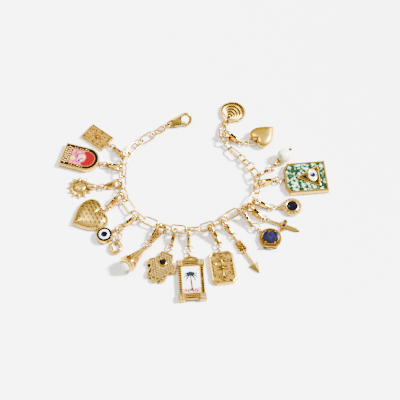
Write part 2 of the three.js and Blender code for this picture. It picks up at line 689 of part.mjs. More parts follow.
function medallion() {
  const { radius, thick, stone, bezel, neck, neckWidth } = MEDALLION;
  const centre = CHARM_START + neck + radius;
  const place = at(centre, 0, 0);
  const bore = stone + INLAY_GAP;
  const rows = [
    [0, 0],
    [radius * 0.92, 0],
    [radius, thick * 0.45],
    [radius * 0.9, thick * 0.9],
    [bore + bezel + 0.3, thick * 0.9],
    [bore + bezel, thick + 0.4],
    [bore, thick + 0.4],
    [bore, thick * 0.5],
    [0, thick * 0.5],
  ];
  const low = thick * 0.5 + INLAY_GAP;
  const dark = [[0, low], [stone, low], [stone, thick + 0.5], [stone * 0.6, thick + 1.1], [0, thick + 1.1]];
  const throat = polygon([
    [CHARM_START - 0.2, -0.7],
    [centre - radius * 0.85, -neckWidth / 2],
    [centre - radius * 0.85, neckWidth / 2],
    [CHARM_START - 0.2, 0.7],
  ]);
  return {
    gold: [turned(rows, 12, place), plate(throat, 0.3, thick)],
    inlays: { medallion_stone: turned(dark, 10, place) },
  };
}

function tagOutline(inset) {
  const { length, width, clip } = TAG;
  const x0 = CHARM_START + inset;
  const x1 = CHARM_START + length - inset;
  const h = width / 2 - inset;
  const c = clip - 0.5 * inset;
  return polygon([[x0 + c * 0.55, -h], [x1, -h], [x1, h], [x0 + c * 0.55, h], [x0, h - c], [x0, -h + c]]);
}

// A triangle pointing back at the eyelet; a positive inset gives its inside, a negative one the space round it.
function triangle(inset) {
  const { length, triangle: size, spread } = TAG;
  const middle = CHARM_START + length / 2 + 1.2;
  const x0 = middle - size / 2 + 2 * inset;
  const x1 = middle + size / 2 - inset;
  const h = spread - 1.6 * inset;
  return polygon([[x0, 0], [x1, -h], [x1, h]]);
}

function tag() {
  const { length, thick, rim, sunk, bar, eye } = TAG;
  const centre = CHARM_START + length * 0.67;
  const floor = thick - sunk;
  const lens = new THREE.Shape();
  lens.moveTo(centre, -eye / 2);
  lens.quadraticCurveTo(centre + eye * 0.5, 0, centre, eye / 2);
  lens.quadraticCurveTo(centre - eye * 0.5, 0, centre, -eye / 2);
  const frame = plate(triangle(0), floor - SOLDER, thick + 0.2).subtract(plate(triangle(bar), floor - 1, 2 * thick));
  const inlayTop = thick - 0.3;
  const low = floor + INLAY_GAP;
  const around = plate(triangle(-INLAY_GAP), floor - 1, 2 * thick);
  return {
    gold: [
      tray(tagOutline(0), tagOutline(rim), thick, sunk),
      frame,
      plate(lens, floor - SOLDER, thick),
      ball(1.5, centre, 0, thick - 0.2, [1, 1, 0.5], 10),
    ],
    inlays: { tag_inlay: plate(tagOutline(rim + INLAY_GAP), low, inlayTop).subtract(around) },
  };
}

function pearlDrop() {
  const { radius, bore, cap, capHeight, ball: end, tail } = PEARL;
  const tip = EYELET_R + capHeight;
  const centre = tip + radius * 0.9;
  const height = radius;
  const rise = Math.asin((height - EYE_R) / centre);
  const along = at(0, 0, EYE_R).multiply(new THREE.Matrix4().makeRotationY(Math.PI / 2 - rise));
  const rows = [
    [0, EYELET_R - 0.2],
    [0.8, EYELET_R - 0.2],
    [cap * 0.8, EYELET_R + capHeight * 0.5],
    [cap, tip - 0.1],
    [bore - INLAY_GAP, tip - 0.1 - 0.6],
    [bore - INLAY_GAP, centre + radius + 0.2],
    [end, centre + radius + tail * 0.22],
    [end, centre + radius + tail * 0.75],
    [0, centre + radius + tail],
  ];
  const drill = new THREE.CylinderGeometry(bore, bore, 4 * radius, 8);
  const middle = along.clone().multiply(at(0, 0, centre));
  const bead = solid(new THREE.SphereGeometry(radius, 12, 7), middle);
  const hole = solid(drill, middle.clone().multiply(new THREE.Matrix4().makeRotationX(Math.PI / 2)));
  return { gold: [turned(rows, 10, along)], inlays: { pearl_bead: bead.subtract(hole) } };
}

// One short link from the eyelet, then a heart that is domed on both sides.
function puff() {
  const { length, width, thick, linkTurn, heartTurn } = PUFF;
  const inside = EYELET_R - (EYELET_WIRE + CHAIN_WIRE) / 2 + SOLDER;
  const turnTo = (angle) => new THREE.Matrix4().makeRotationZ(rad(angle));
  const linkAt = turnTo(linkTurn).multiply(at(inside + (SHORT_LINK - CHAIN_WIRE) / 2, 0, EYE_R));
  const link = ring(SHORT_LINK, SHORT_WIDTH, CHAIN_WIRE, linkAt);
  const bevel = thick * 0.34;
  const notch = 0.1 * (length - 2 * bevel);
  const shape = heartOutline(0, length - 2 * bevel, width - 2 * bevel);
  const geometry = new THREE.ExtrudeGeometry(shape, {
    depth: thick - 2 * bevel,
    bevelThickness: bevel,
    bevelSize: bevel,
    bevelSegments: 2,
    curveSegments: 3,
  });
  const far = inside + SHORT_LINK - CHAIN_WIRE + bevel - notch;
  const place = turnTo(linkTurn).multiply(at(far, 0, bevel)).multiply(turnTo(heartTurn - linkTurn));
  return { gold: [link, solid(geometry, place)] };
}

function shell() {
  const { length, width, thick, ribs, hinge: half, eyelet: loop } = SHELL;
  const x0 = loop + SOLDER;
  const hinge = x0;
  const fan = [];
  for (let i = 0; i <= 2 * ribs; i++) {
    const a = rad(-112 + (224 * i) / (2 * ribs));
    const r = (i % 2 ? 1 : 0.93) * (width / 2);
    fan.push([x0 + length - width / 2 + r * Math.cos(a), r * Math.sin(a)]);
  }
  const outline = polygon([[hinge, -half], ...fan, [hinge, half]]);
  const parts = [eyelet(loop + EYELET_WIRE / 2, loop), plate(outline, 0, thick * 0.3)];
  const layers = [[0.86, 0.55], [0.66, 0.78], [0.42, 1]];
  for (const [share, height] of layers) {
    const points = fan.map(([x, y]) => [hinge + (x - hinge) * share, y * share]);
    parts.push(plate(polygon([[hinge, -half / 2], ...points, [hinge, half / 2]]), thick * 0.2, thick * height));
  }
  return { gold: parts };
}

const CHARMS = {
  plaque,
  arch,
  sun,
  heart,
  evil_eye: evilEye,
  trumpet,
  hamsa,
  palm,
  octagon,
  arrow,
  drop,
  dagger,
  medallion,
  tag,
  pearl: pearlDrop,
  puff,
};

// The charm's frame: from the clasp's eye through a jump ring of the given radius.
function hangCharm(group, hanger, eye) {
  const turn = new THREE.Matrix4().makeRotationZ(rad(hanger.turn));
  const inside = EYELET_R - (EYELET_WIRE + RING_WIRE) / 2 + SOLDER;
  const reach = 2 * hanger.ring + inside;
  const charm = CHARMS[hanger.name]();
  const placed = new THREE.Group();
  placed.applyMatrix4(at(eye.x, eye.y, 0).multiply(turn).multiply(at(reach, 0, 0)));
  const size = 2 * hanger.ring + RING_WIRE;
  const jump = ring(size, size, RING_WIRE, at(hanger.ring - reach, 0, eye.z));
  placed.add(meshOf(hanger.name + "_charm", join([jump, eyelet(eye.z), ...charm.gold])));
  for (const [name, body] of Object.entries(charm.inlays ?? {})) {
    placed.add(meshOf(name, body, INLAY_LOOKS[name]));
  }
  group.add(placed);
  return placed;
}

const INLAY_LOOKS = {
  arch_enamel: new THREE.MeshStandardMaterial({ color: 0xd8656b, metalness: 0, roughness: 0.15 }),
  evil_eye_glass: new THREE.MeshStandardMaterial({ color: 0x20222a, metalness: 0, roughness: 0.05 }),
  palm_picture: new THREE.MeshStandardMaterial({ color: 0xf2ece4, metalness: 0, roughness: 0.2 }),
  drop_gem: new THREE.MeshStandardMaterial({ color: 0x3a3ca8, metalness: 0, roughness: 0.03 }),
  medallion_stone: new THREE.MeshStandardMaterial({ color: 0x0c1020, metalness: 0, roughness: 0.05 }),
  tag_inlay: new THREE.MeshStandardMaterial({ color: 0x4f9a73, metalness: 0, roughness: 0.2 }),
  pearl_bead: new THREE.MeshStandardMaterial({ color: 0xefe9de, metalness: 0, roughness: 0.2 }),
};

// The small teardrop ring hangs on the evil eye's jump ring by a ring on edge and a short link.
const TEAR_TURN = -101; // degrees from +X
const TEAR_REACH = 0.5; // from the jump ring's wire to the middle of the ring on edge

function addTeardrop(group, eye, turnOfEye) {
  const middle = new THREE.Vector3(Math.cos(rad(turnOfEye)), Math.sin(rad(turnOfEye)), 0)
    .multiplyScalar(RING_R)
    .add(eye);
  const edge = new THREE.Matrix4().makeRotationX(Math.PI / 2);
  const hoop = 2 * RING_R + RING_WIRE;
  const hold = RING_R + TEAR_REACH;
  const parts = [ring(hoop, hoop, RING_WIRE, at(hold, 0, hoop / 2).multiply(edge))];
  const linkX = hold + RING_R + SHORT_LINK / 2 - CHAIN_WIRE - SOLDER;
  parts.push(ring(SHORT_LINK, SHORT_WIDTH, CHAIN_WIRE, at(linkX, 0, hoop / 2 - 0.6)));
  const dropX = linkX + SHORT_LINK / 2 + TEARDROP.length / 2 - CHAIN_WIRE;
  parts.push(ring(TEARDROP.length, TEARDROP.width, TEARDROP.wire, at(dropX, 0, TEARDROP.wire / 2)));
  const placed = new THREE.Group();
  const turn = new THREE.Matrix4().makeRotationZ(rad(TEAR_TURN));
  placed.applyMatrix4(at(middle.x, middle.y, 0).multiply(turn));
  placed.add(meshOf("teardrop_charm", join(parts)));
  group.add(placed);
}

function buildBracelet() {
  const group = new THREE.Group();
  const links = chainLinks();
  group.add(meshOf("chain", join(links.map(linkSolid))));

  const body = claspBody();
  const lever = leverSolid();
  for (const hanger of HANGERS) {
    const wire = outerWire(links[hanger.link], hanger.share);
    const frame = claspFrame(wire, hanger.heading, hanger.lean, hanger.clasp);
    addClasp(group, hanger.name, frame, body, lever);
    const eye = new THREE.Vector3(EYE_X, 0, 0).applyMatrix4(frame);
    hangCharm(group, hanger, eye);
    if (hanger.name === "evil_eye") addTeardrop(group, eye, hanger.turn);
  }

  const first = links[0];
  const held = first.centre.clone().addScaledVector(first.along, -(first.length - CHAIN_WIRE) / 2);
  const loose = claspFrame(new THREE.Vector3(), MAIN_CLASP.heading, MAIN_CLASP.lean, MAIN_CLASP.scale);
  const looseEye = new THREE.Vector3(EYE_X, 0, 0).applyMatrix4(loose);
  const frame = at(held.x - looseEye.x, held.y - looseEye.y, 0).multiply(loose);
  addClasp(group, "main", frame, body, lever);

  const last = links[links.length - 1];
  const end = last.centre.clone().addScaledVector(last.along, (last.length - CHAIN_WIRE) / 2);
  const placed = new THREE.Group();
  placed.applyMatrix4(at(end.x, end.y, 0).multiply(new THREE.Matrix4().makeRotationZ(rad(SHELL.turn))));
  placed.add(meshOf("shell_charm", join(shell().gold)));
  group.add(placed);
  return group;
}

// The bracelet moved so that the bottom centre of its box is the origin.
function centred(bracelet) {
  const bounds = new THREE.Box3().setFromObject(bracelet, true);
  const centre = bounds.getCenter(new THREE.Vector3());
  bracelet.position.set(-centre.x, -centre.y, -bounds.min.z);
  return new THREE.Group().add(bracelet);
}

const group = centred(buildBracelet());
export default group;
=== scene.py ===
# Looks of a charm bracelet that lies open on a pale surface.
# Shapes are made in millimetres in each piece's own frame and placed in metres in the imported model's frame.
import json
import random
from math import acos, asin, atan2, copysign, cos, degrees, hypot, pi, radians, sin, sqrt
from types import SimpleNamespace as Named

import bmesh
import bpy
from mathutils import Matrix, Vector

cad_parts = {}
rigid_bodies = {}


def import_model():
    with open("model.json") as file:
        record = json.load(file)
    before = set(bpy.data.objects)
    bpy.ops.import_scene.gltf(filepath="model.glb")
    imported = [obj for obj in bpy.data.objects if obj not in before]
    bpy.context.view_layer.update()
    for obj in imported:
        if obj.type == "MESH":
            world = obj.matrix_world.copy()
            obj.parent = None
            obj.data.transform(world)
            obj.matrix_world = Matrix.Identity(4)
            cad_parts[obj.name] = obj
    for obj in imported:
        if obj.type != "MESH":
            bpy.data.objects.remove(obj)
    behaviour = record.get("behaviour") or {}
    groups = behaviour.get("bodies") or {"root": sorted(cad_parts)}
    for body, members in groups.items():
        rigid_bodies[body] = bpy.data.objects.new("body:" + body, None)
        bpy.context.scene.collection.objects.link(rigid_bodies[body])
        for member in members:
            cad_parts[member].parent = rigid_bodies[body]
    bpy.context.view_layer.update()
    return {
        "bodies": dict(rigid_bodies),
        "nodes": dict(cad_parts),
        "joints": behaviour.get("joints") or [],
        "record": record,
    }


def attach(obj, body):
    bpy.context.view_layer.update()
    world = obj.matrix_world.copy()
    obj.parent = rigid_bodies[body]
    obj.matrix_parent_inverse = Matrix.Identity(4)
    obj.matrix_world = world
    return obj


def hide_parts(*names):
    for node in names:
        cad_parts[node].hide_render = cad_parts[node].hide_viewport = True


MM = 0.001
PER_MM = 1000  # noise sizes are given in waves per millimetre
PAINTED_SHADE_REACH = 1.1  # how far gold looks for walls, for the painted shade that darkens it near them
BASE = "bracelet"  # the body that all the still pieces ride on

# Angles in degrees past which an edge looks sharp
GOLD_CREASE = 40
CHARM_CREASE = 42
FACET_CREASE = 15

# Chain
CHAIN_WIRE = 0.9
LINK_BITE = 0.18
LINK_SIZES = {"L": (9.2, 4.8), "s": (5.2, 3.8), "o": (5.2, 5.2)}
LINKS = "ossLsLLLLLLLLLLLLLLLLLLossLsoLs"
ROLL_UP = 32
ROLL_DOWN = -18
FIRST_ROLL = 140
PLATED_WIRE = 0.96  # the wire as it looks, a little fuller than the solid one

# The chain's course: x, y and height
ROUTE = [
    (-18.6, 46.6, 1.9), (-25, 42, 1.75), (-32.6, 36.3, 2), (-39, 29, 2.9), (-41.9, 20.1, 2.9),
    (-42, 7.6, 2.9), (-39.6, -2.6, 2.9), (-33.5, -11, 2.9), (-25, -15.8, 2.9), (-14.6, -19, 2.9),
    (-2.6, -19.5, 2.9), (6.8, -16.6, 2.9), (16.8, -10.4, 2.9), (24.9, -5.6, 2.9), (29.8, 1, 2.9),
    (30.8, 9, 2.9), (29.4, 16, 2.9), (24.6, 23.3, 2.6), (17.9, 30.3, 2), (14.2, 36, 2.8),
    (12.6, 42, 2.8), (13.9, 47.6, 1.9),
]

# Clasps
SMALL_CLASP = 0.88  # share of the drawing's size
CLASP = 1
BIG_CLASP = 1.15
HOOK_R = 3.3
HOOK_BORE = 1.75
HOOK_HOLD = 0.75
CLASP_T = 2
EYE_X = 7.6
EYE_R = 1.6
EYE_BORE = 0.95
EYE_T = 1.2
EYE = Vector((EYE_X, 0, 0))
CHEEK_MARGIN = 0.9
PIVOT = Vector((3, 0.75, 0))
PIN_R = 0.35
SLOT_T = 1.2
LEVER_T = 0.7
LEVER_GAP = 0.3
LEVER_HUB = 1.1
LEVER_REACH = 3.7
LEVER_ARM = 0.8
GATE_ANGLE = 146
NUB_ANGLE = -80
NUB_REACH = 3.6
NUB_WIDTH = 0.9

# Jump rings and eyelets
RING_WIRE = 0.8
RING_R = 1.9
SMALL_RING_R = 1.6
LARGE_RING_R = 2.3
EYELET_R = 1.15
EYELET_WIRE = 0.8
SOLDER = 0.2
CHARM_START = EYELET_R + SOLDER

# Charm: link, share along it, clasp's heading, charm's heading, clasp's lean and size, jump ring's radius
HANGERS = {
    "plaque": (6, -0.5, 129, 142, 0, SMALL_CLASP, SMALL_RING_R),
    "arch": (7, -0.6, 158, 164, 0, SMALL_CLASP, SMALL_RING_R),
    "sun": (8, 0.3, -172, 180, 30, SMALL_CLASP, SMALL_RING_R),
    "heart": (9, 0.6, -139, -153, 20, CLASP, SMALL_RING_R),
    "evil_eye": (11, 0, -147, -149, 0, SMALL_CLASP, RING_R),
    "trumpet": (13, -0.3, -129, -128, 30, CLASP, RING_R),
    "hamsa": (14, -0.6, -104, -113, 0, SMALL_CLASP, SMALL_RING_R),
    "palm": (15, -0.9, -91, -86, 0, SMALL_CLASP, RING_R),
    "octagon": (16, 0.6, -60, -82, 0, CLASP, RING_R),
    "arrow": (17, 0.3, -50, -58, 0, SMALL_CLASP, SMALL_RING_R),
    "drop": (19, -0.9, -58, -40, 20, CLASP, LARGE_RING_R),
    "dagger": (19, 0.8, -37, -21, 0, CLASP, SMALL_RING_R),
    "medallion": (20, -0.6, -20, 2, 0, SMALL_CLASP, SMALL_RING_R),
    "tag": (21, 0.6, 25, 5, 0, CLASP, RING_R),
    "pearl": (22, -0.3, 34, 43, 25, SMALL_CLASP, RING_R),
    "puff": (29, -0.9, -27, -8, 0, CLASP, RING_R),
}
MAIN_HEADING = -166
MAIN_LEAN = 45
TEAR_TURN = -101
TEAR_REACH = 0.5
SHELL_TURN = 60

# Camera, as the photograph was taken; its aim is the layout's origin
CAMERA_ELEVATION = 60
CAMERA_DISTANCE = 600
CAMERA_LENS = 101.9


def move(x=0.0, y=0.0, z=0.0):
    return Matrix.Translation((x, y, z))


def turn(angle, axis="Z"):
    return Matrix.Rotation(radians(angle), 4, axis)


# Outlines: lists of flat points, counter-clockwise


def polar(radius, angle, cx=0.0, cy=0.0):
    """The point at an angle in degrees round a centre."""
    return Vector((cx + radius * cos(radians(angle)), cy + radius * sin(radians(angle))))


def around(count, radius, cx=0.0, cy=0.0):
    """Spots evenly round a centre, as x, y and angle in degrees."""
    return [(*polar(radius, 360 * i / count, cx, cy), 360 * i / count) for i in range(count)]


def arc(cx, cy, radius, start, end, count):
    return [polar(radius, start + (end - start) * i / (count - 1), cx, cy) for i in range(count)]


def polygon(*points):
    return [Vector(p) for p in points]


def mirrored(*lower):
    """An outline the same on both sides of the X axis, from its lower half."""
    return polygon(*lower, *[(x, -y) for x, y in reversed(lower) if y])


def rectangle(x0, x1, half):
    return mirrored((x0, -half), (x1, -half))


def box(x0, x1, y0, y1):
    return polygon((x0, y0), (x1, y0), (x1, y1), (x0, y1))


def bezier(p0, p1, p2, p3, count):
    points = []
    for i in range(count):
        t = i / count
        s = 1 - t
        shares = (s**3, 3 * s * s * t, 3 * s * t * t, t**3)
        knots = zip(shares, (p0, p1, p2, p3))
        points.append(sum((share * Vector(p) for share, p in knots), Vector((0, 0))))
    return points


def smooth(points, steps):
    """A closed curve through the points."""
    made = []
    count = len(points)
    for i in range(count):
        p0, p1, p2, p3 = (points[(i + k) % count] for k in (-1, 0, 1, 2))
        for k in range(steps):
            t = k / steps
            a = 2 * p1 + (p2 - p0) * t
            b = (2 * p0 - 5 * p1 + 4 * p2 - p3) * t * t + (3 * p1 - p0 - 3 * p2 + p3) * t**3
            made.append((a + b) / 2)
    return made


def inset(outline, amount):
    """An outline moved inwards."""
    moved = []
    for i, p in enumerate(outline):
        before = (p - outline[i - 1]).normalized()
        after = (outline[(i + 1) % len(outline)] - p).normalized()
        left = Vector((-before.y, before.x))
        right = Vector((-after.y, after.x))
        moved.append(p + (left + right) * (amount / max(0.4, 1 + left.dot(right))))
    return moved


def grown(outline, share, centre=Vector((0, 0))):
    return [centre + (p - centre) * share for p in outline]


def level(outline, z, amount=0.0):
    """An outline at a height, moved inwards."""
    return [(p.x, p.y, z) for p in (inset(outline, amount) if amount else outline)]


def sides_of(outline):
    return zip(outline, outline[1:] + outline[:1])


def cornered(outline, steps=5):
    """Points along straight sides, close enough for a tube to keep its corners."""
    made = []
    for a, b in sides_of(outline):
        made += [a.lerp(b, (i + 0.08) / steps) for i in range(steps)] + [a.lerp(b, 0.985)]
    return made


def inside(outline, p):
    """Whether a point is inside an outline."""
    odd = False
    for a, b in sides_of(outline):
        if (a.y > p.y) != (b.y > p.y) and p.x < a.x + (b.x - a.x) * (p.y - a.y) / (b.y - a.y):
            odd = not odd
    return odd


def lengths_along(points):
    """The length of a line up to each of its points."""
    lengths = [0.0]
    for a, b in zip(points, points[1:]):
        lengths.append(lengths[-1] + (b - a).length)
    return lengths


def point_at(points, lengths, s):
    """The number of the stretch that holds a length along a line, and the point there."""
    k = next(i for i, end in enumerate(lengths[1:]) if end > s)
    return k, points[k].lerp(points[k + 1], (s - lengths[k]) / (lengths[k + 1] - lengths[k]))


def spaced(outline, pitch):
    """Points about a pitch apart along an outline."""
    points = outline + outline[:1]
    lengths = lengths_along(points)
    count = max(2, round(lengths[-1] / pitch))
    return [point_at(points, lengths, lengths[-1] * (i + 0.5) / count)[1] for i in range(count)]


def between(rows, x):
    """The value at x of (x, value) rows with falling x, level beyond the first."""
    for (x0, y0), (x1, y1) in zip(rows, rows[1:]):
        if x >= x1:
            return y0 + (y1 - y0) * (x0 - min(x, x0)) / (x0 - x1)
    return rows[-1][1]


# Shapes: each is a list of points and a list of faces, in millimetres


def shaped(shape, matrix):
    points, faces = shape
    return [matrix @ Vector(p) for p in points], faces


def loft(rings, closed=False):
    """Rings with equal numbers of points joined by quads; open ones get flat caps."""
    count = len(rings[0])
    points = [Vector(p) for ring in rings for p in ring]
    faces = []
    for k in range(len(rings) if closed else len(rings) - 1):
        a = k * count
        b = ((k + 1) % len(rings)) * count
        for i in range(count):
            j = (i + 1) % count
            faces.append((a + i, a + j, b + j, b + i))
    if not closed:
        faces.append(tuple(reversed(range(count))))
        faces.append(tuple(range(a + count, a + 2 * count)))
    return points, faces


def circle(radius, z, count, flutes=0, depth=0.0):
    """A ring of points round Z, with an optional number of flutes."""
    ring = []
    for i in range(count):
        a = 2 * pi * i / count
        r = radius * (1 + depth * cos(flutes * a))
        ring.append((r * cos(a), r * sin(a), z))
    return ring


def turned(rows, count=32, matrix=Matrix(), flutes=0, depth=0.0):
    """A profile of (radius, height) rows turned round Z."""
    rings = [circle(max(r, 0.01), z, count, flutes, depth) for r, z in rows]
    return shaped(loft(rings), matrix)


def profile(base, *rows):
    """Rows of (radius, height), with heights counted from a base."""
    return [(r, base + z) for r, z in rows]


def tube(path, radius, closed=False, sides=6):
    """A round wire along a path that keeps roughly level; radius is a number or one value a point."""
    path = [Vector(p) for p in path]
    last = len(path) - 1
    rings = []
    for i, p in enumerate(path):
        before = path[i - 1] if closed or i else path[0]
        after = path[(i + 1) % len(path)] if closed or i < last else path[last]
        along = (after - before).normalized()
        side = along.cross(Vector((0, 0, 1)))
        side = side.normalized() if side.length > 1e-3 else Vector((1, 0, 0))
        up = side.cross(along)
        r = radius[i] if isinstance(radius, list) else radius
        angles = [2 * pi * k / sides for k in range(sides)]
        rings.append([p + side * (r * cos(a)) + up * (r * sin(a)) for a in angles])
    return loft(rings, closed)


def hoop(outline, z, radius, sides=6):
    """A round wire along an outline."""
    return tube(level(outline, z), radius, True, sides)


def link(length, width, wire, matrix, sides=8, count=28):
    """A closed wire link with straight sides along X; lengths are outer sizes."""
    bend = (width - wire) / 2
    straight = (length - width) / 2
    path = []
    for i in range(count):
        a = 2 * pi * (i + 0.5) / count
        path.append((bend * cos(a) + copysign(straight, cos(a)), bend * sin(a), 0))
    return shaped(tube(path, wire / 2, True, sides), matrix)


def ring(radius, wire, matrix, sides=8, count=24):
    """A closed round ring, whose radius is its wire's middle."""
    size = 2 * radius + wire
    return link(size, size, wire, matrix, sides, count)


def walls(outline, z0, z1, bevel):
    """The rings of a flat piece's sides, with softened edges."""
    heights = ((z0, bevel), (z0 + bevel, 0), (z1 - bevel, 0), (z1, bevel))
    return [level(outline, z, amount) for z, amount in heights]


def slab(outline, z0, z1, bevel=0.15):
    return loft(walls(outline, z0, z1, bevel))


def tray(outline, rim, floor, top, bevel=0.2):
    """A flat piece with a raised rim round a sunken floor."""
    steps = ((top, rim - bevel / 2), (top - bevel, rim), (floor, rim))
    return loft(walls(outline, 0, top, bevel) + [level(outline, z, amount) for z, amount in steps])


def ball(radius, x, y, z, squash=1.0, count=10):
    half = count // 2
    angles = [pi * i / (half + 1) for i in range(1, half + 1)]
    rings = [circle(radius * sin(a), -radius * squash * cos(a), count) for a in angles]
    return shaped(loft(rings), move(x, y, z))


def beads(outline, radius, z, pitch):
    """A row of beads, as in milgrain."""
    return [ball(radius, p.x, p.y, z, 1, 6) for p in spaced(outline, pitch)]


def stone(radius, x, y, z, height=None, facets=8):
    """A small cut stone with a table."""
    height = height or 0.6 * radius
    rows = [(radius, -0.3 * radius), (radius, 0.1 * height), (radius * 0.55, height)]
    return turned(rows, facets, move(x, y, z) @ turn(180 / facets))


def leaf(length, width, height, x, y, z, angle):
    """A raised leaf with a middle ridge."""
    turns = [2 * pi * i / 12 for i in range(12)]
    outline = polygon(*[(length / 2 * cos(a), width / 2 * sin(a) * abs(sin(a))) for a in turns])
    ridge = polygon(*[(p.x * 0.7, p.y * 0.12) for p in outline])
    rings = [level(outline, -0.2), level(grown(outline, 0.9), height * 0.35), level(ridge, height)]
    return shaped(loft(rings), move(x, y, z) @ turn(angle))


def leaves(size, z, spots):
    """Leaves of one size (length, width, height) at spots of x, y and angle."""
    return [leaf(*size, x, y, z, angle) for x, y, angle in spots]


def scroll(x, y, z, size, angle, hand=1, turns=1.3, thick=0.3):
    """A spiral of tapering relief that ends in a bud."""
    shares = [i / 18 for i in range(19)]
    path = [(*polar(size * (1 - 0.85 * t), 360 * turns * t * hand, -size), 0) for t in shares]
    radii = [thick * 0.3] + [thick * (1.1 - 0.5 * t) for t in shares[1:]]
    place = move(x, y, z) @ turn(angle)
    bud = ball(thick * 1.1, path[-1][0], path[-1][1], 0, 0.9, 8)
    return [shaped(tube(path, radii), place), shaped(bud, place)]


def rosette(x, y, z, radius, height):
    """A flower of six leaves round a bud."""
    spots = around(6, 0.6 * radius, x, y)
    petals = leaves((radius * 0.85, radius * 0.5, height), z, spots)
    return [ball(radius * 0.28, x, y, z + height * 0.3, 0.8), *petals]


def filigree(outline, z, pitch, seed, thick):
    """Curls and buds that fill an outline, the same on both sides of the X axis."""
    rng = random.Random(seed)
    low = min(p.x for p in outline)
    high = max(p.x for p in outline)
    wide = max(p.y for p in outline)
    columns = max(2, round((high - low) / pitch))
    rows = max(1, round(wide / pitch))
    made = []
    for i in range(columns):
        for j in range(rows):
            x = low + (high - low) * (i + 0.5) / columns + rng.uniform(-0.12, 0.12) * pitch
            size = pitch * rng.uniform(0.34, 0.42)
            angle = rng.uniform(0, 360)
            step = 27 * rng.choice((-1, 1))
            for side in (-1, 1):
                y = side * wide * (j + 0.5) / rows
                if not inside(outline, Vector((x, y))):
                    continue
                if (i + j) % 2:
                    made.append(leaf(size * 2.2, size * 1.3, thick * 1.6, x, y, z - 0.1, angle * side))
                    continue
                curl = [polar(size * (1 - 0.05 * k), (angle + step * k) * side, x, y) for k in range(11)]
                made.append(tube(level(curl, z), [thick * (1.1 - 0.05 * k) for k in range(11)]))
                made.append(ball(thick, x, y, z, 0.9, 6))
    return made


# Materials


def fill(tree, node, **sockets):
    """Gives each named socket a constant, or a link from another node's output."""
    for key, value in sockets.items():
        socket = node.inputs[key.replace("_", " ")]
        if isinstance(value, bpy.types.NodeSocket):
            tree.links.new(value, socket)
        else:
            socket.default_value = value
    return node


def add_node(tree, kind, **sockets):
    return fill(tree, tree.nodes.new("ShaderNode" + kind), **sockets)


def surface(tree, **sockets):
    fill(tree, tree.nodes["Principled BSDF"], **sockets)


def material(name, **constants):
    """A new material with its surface's constants, and its node tree."""
    made = bpy.data.materials.new(name)
    made.use_nodes = True
    surface(made.node_tree, **constants)
    return made, made.node_tree


def position(tree, scale):
    """Places on the object, scaled."""
    place = add_node(tree, "TexCoord").outputs["Object"]
    return add_node(tree, "Mapping", Vector=place, Scale=(scale, scale, scale)).outputs["Vector"]


def noise(tree, where, scale, detail=3.0):
    return add_node(tree, "TexNoise", Vector=where, Scale=scale, Detail=detail).outputs["Fac"]


def ramp(tree, value, stops):
    """A colour ramp with (place, colour) stops."""
    made = add_node(tree, "ValToRGB", Fac=value)
    elements = made.color_ramp.elements
    while len(elements) < len(stops):
        elements.new(0.5)
    for element, (place, colour) in zip(elements, stops):
        element.position = place
        element.color = (*colour, 1)
    return made.outputs["Color"]


def bump(tree, value, strength, depth):
    """A bump on the surface, with its depth in millimetres."""
    made = add_node(tree, "Bump", Height=value, Strength=strength, Distance=depth * MM)
    surface(tree, Normal=made.outputs["Normal"])


def gold(name, light, deep, painted_hollow_shade, rough, grain, grain_size):
    """Gold plate: two tones, painted shade darkening its hollows (on cast gold also standing for the patina
    there), and a fine grain in its polish.
    """
    made, tree = material(name, Metallic=1.0, Specular_Tint=(1.0, 0.66, 0.25, 1.0))
    where = position(tree, PER_MM)
    tone = ramp(tree, noise(tree, where, 0.35), [(0.35, deep), (0.65, light)])
    # An occlusion node darkens gold near other surfaces: painted shade in hollows and gaps
    occlusion = add_node(tree, "AmbientOcclusion", Distance=PAINTED_SHADE_REACH * MM)
    occlusion.samples = 6
    painted_shade = ramp(tree, occlusion.outputs["AO"], [(0.4, painted_hollow_shade), (0.9, (1, 1, 1))])
    mix = add_node(tree, "Mix")
    mix.data_type = "RGBA"
    mix.blend_type = "MULTIPLY"
    fill(tree, mix, Factor=1.0, A=tone, B=painted_shade)
    fine = noise(tree, where, grain_size, 4.0)
    polish = add_node(tree, "MapRange", Value=fine, To_Min=rough * 0.75, To_Max=rough * 1.35)
    surface(tree, Base_Color=mix.outputs["Result"], Roughness=polish.outputs["Result"])
    bump(tree, fine, grain, 0.1)
    return made


def clouded(name, stops, spread, detail=3.0, scale=PER_MM, **constants):
    """A material whose colour drifts over the stops, with its tree, its places and its cloud."""
    made, tree = material(name, **constants)
    where = position(tree, scale)
    cloud = noise(tree, where, spread, detail)
    surface(tree, Base_Color=ramp(tree, cloud, stops))
    return made, tree, where, cloud


def enamel(name, colour, other, spread=1.2, rough=0.12):
    """Glossy enamel with a slight cloud in its colour."""
    stops = [(0.4, colour), (0.62, other)]
    made, tree, where, _ = clouded(name, stops, spread, Roughness=rough, Specular_IOR_Level=0.06)
    bump(tree, noise(tree, where, 0.5), 0.06, 0.2)
    return made


def mottled(name):
    """Green enamel marbled with mint and white."""
    stops = [
        (0.43, (0.0026, 0.013, 0.005)),
        (0.49, (0.012, 0.036, 0.015)),
        (0.53, (0.05, 0.13, 0.055)),
        (0.57, (0.2, 0.34, 0.17)),
        (0.62, (0.55, 0.66, 0.42)),
    ]
    made, tree, _, cloud = clouded(name, stops, 0.6, 5.0, Roughness=0.16, Specular_IOR_Level=0.22)
    bump(tree, cloud, 0.1, 0.2)
    return made


def pearl_look(name):
    """Cream lustre under a faint coat, slightly uneven."""
    stops = [(0.35, (0.5, 0.4, 0.24)), (0.6, (0.8, 0.76, 0.6))]
    made, tree, where, _ = clouded(name, stops, 0.3, Roughness=0.25, Coat_Weight=0.4, Coat_Roughness=0.1)
    bump(tree, noise(tree, where, 0.4), 0.25, 0.5)
    return made


def gem(name, colour, other, shine):
    """A dark cut stone with zones of colour."""
    stops = [(0.42, colour), (0.6, other)]
    return clouded(name, stops, 0.5, 1.0, Roughness=0.05, Specular_IOR_Level=shine)[0]


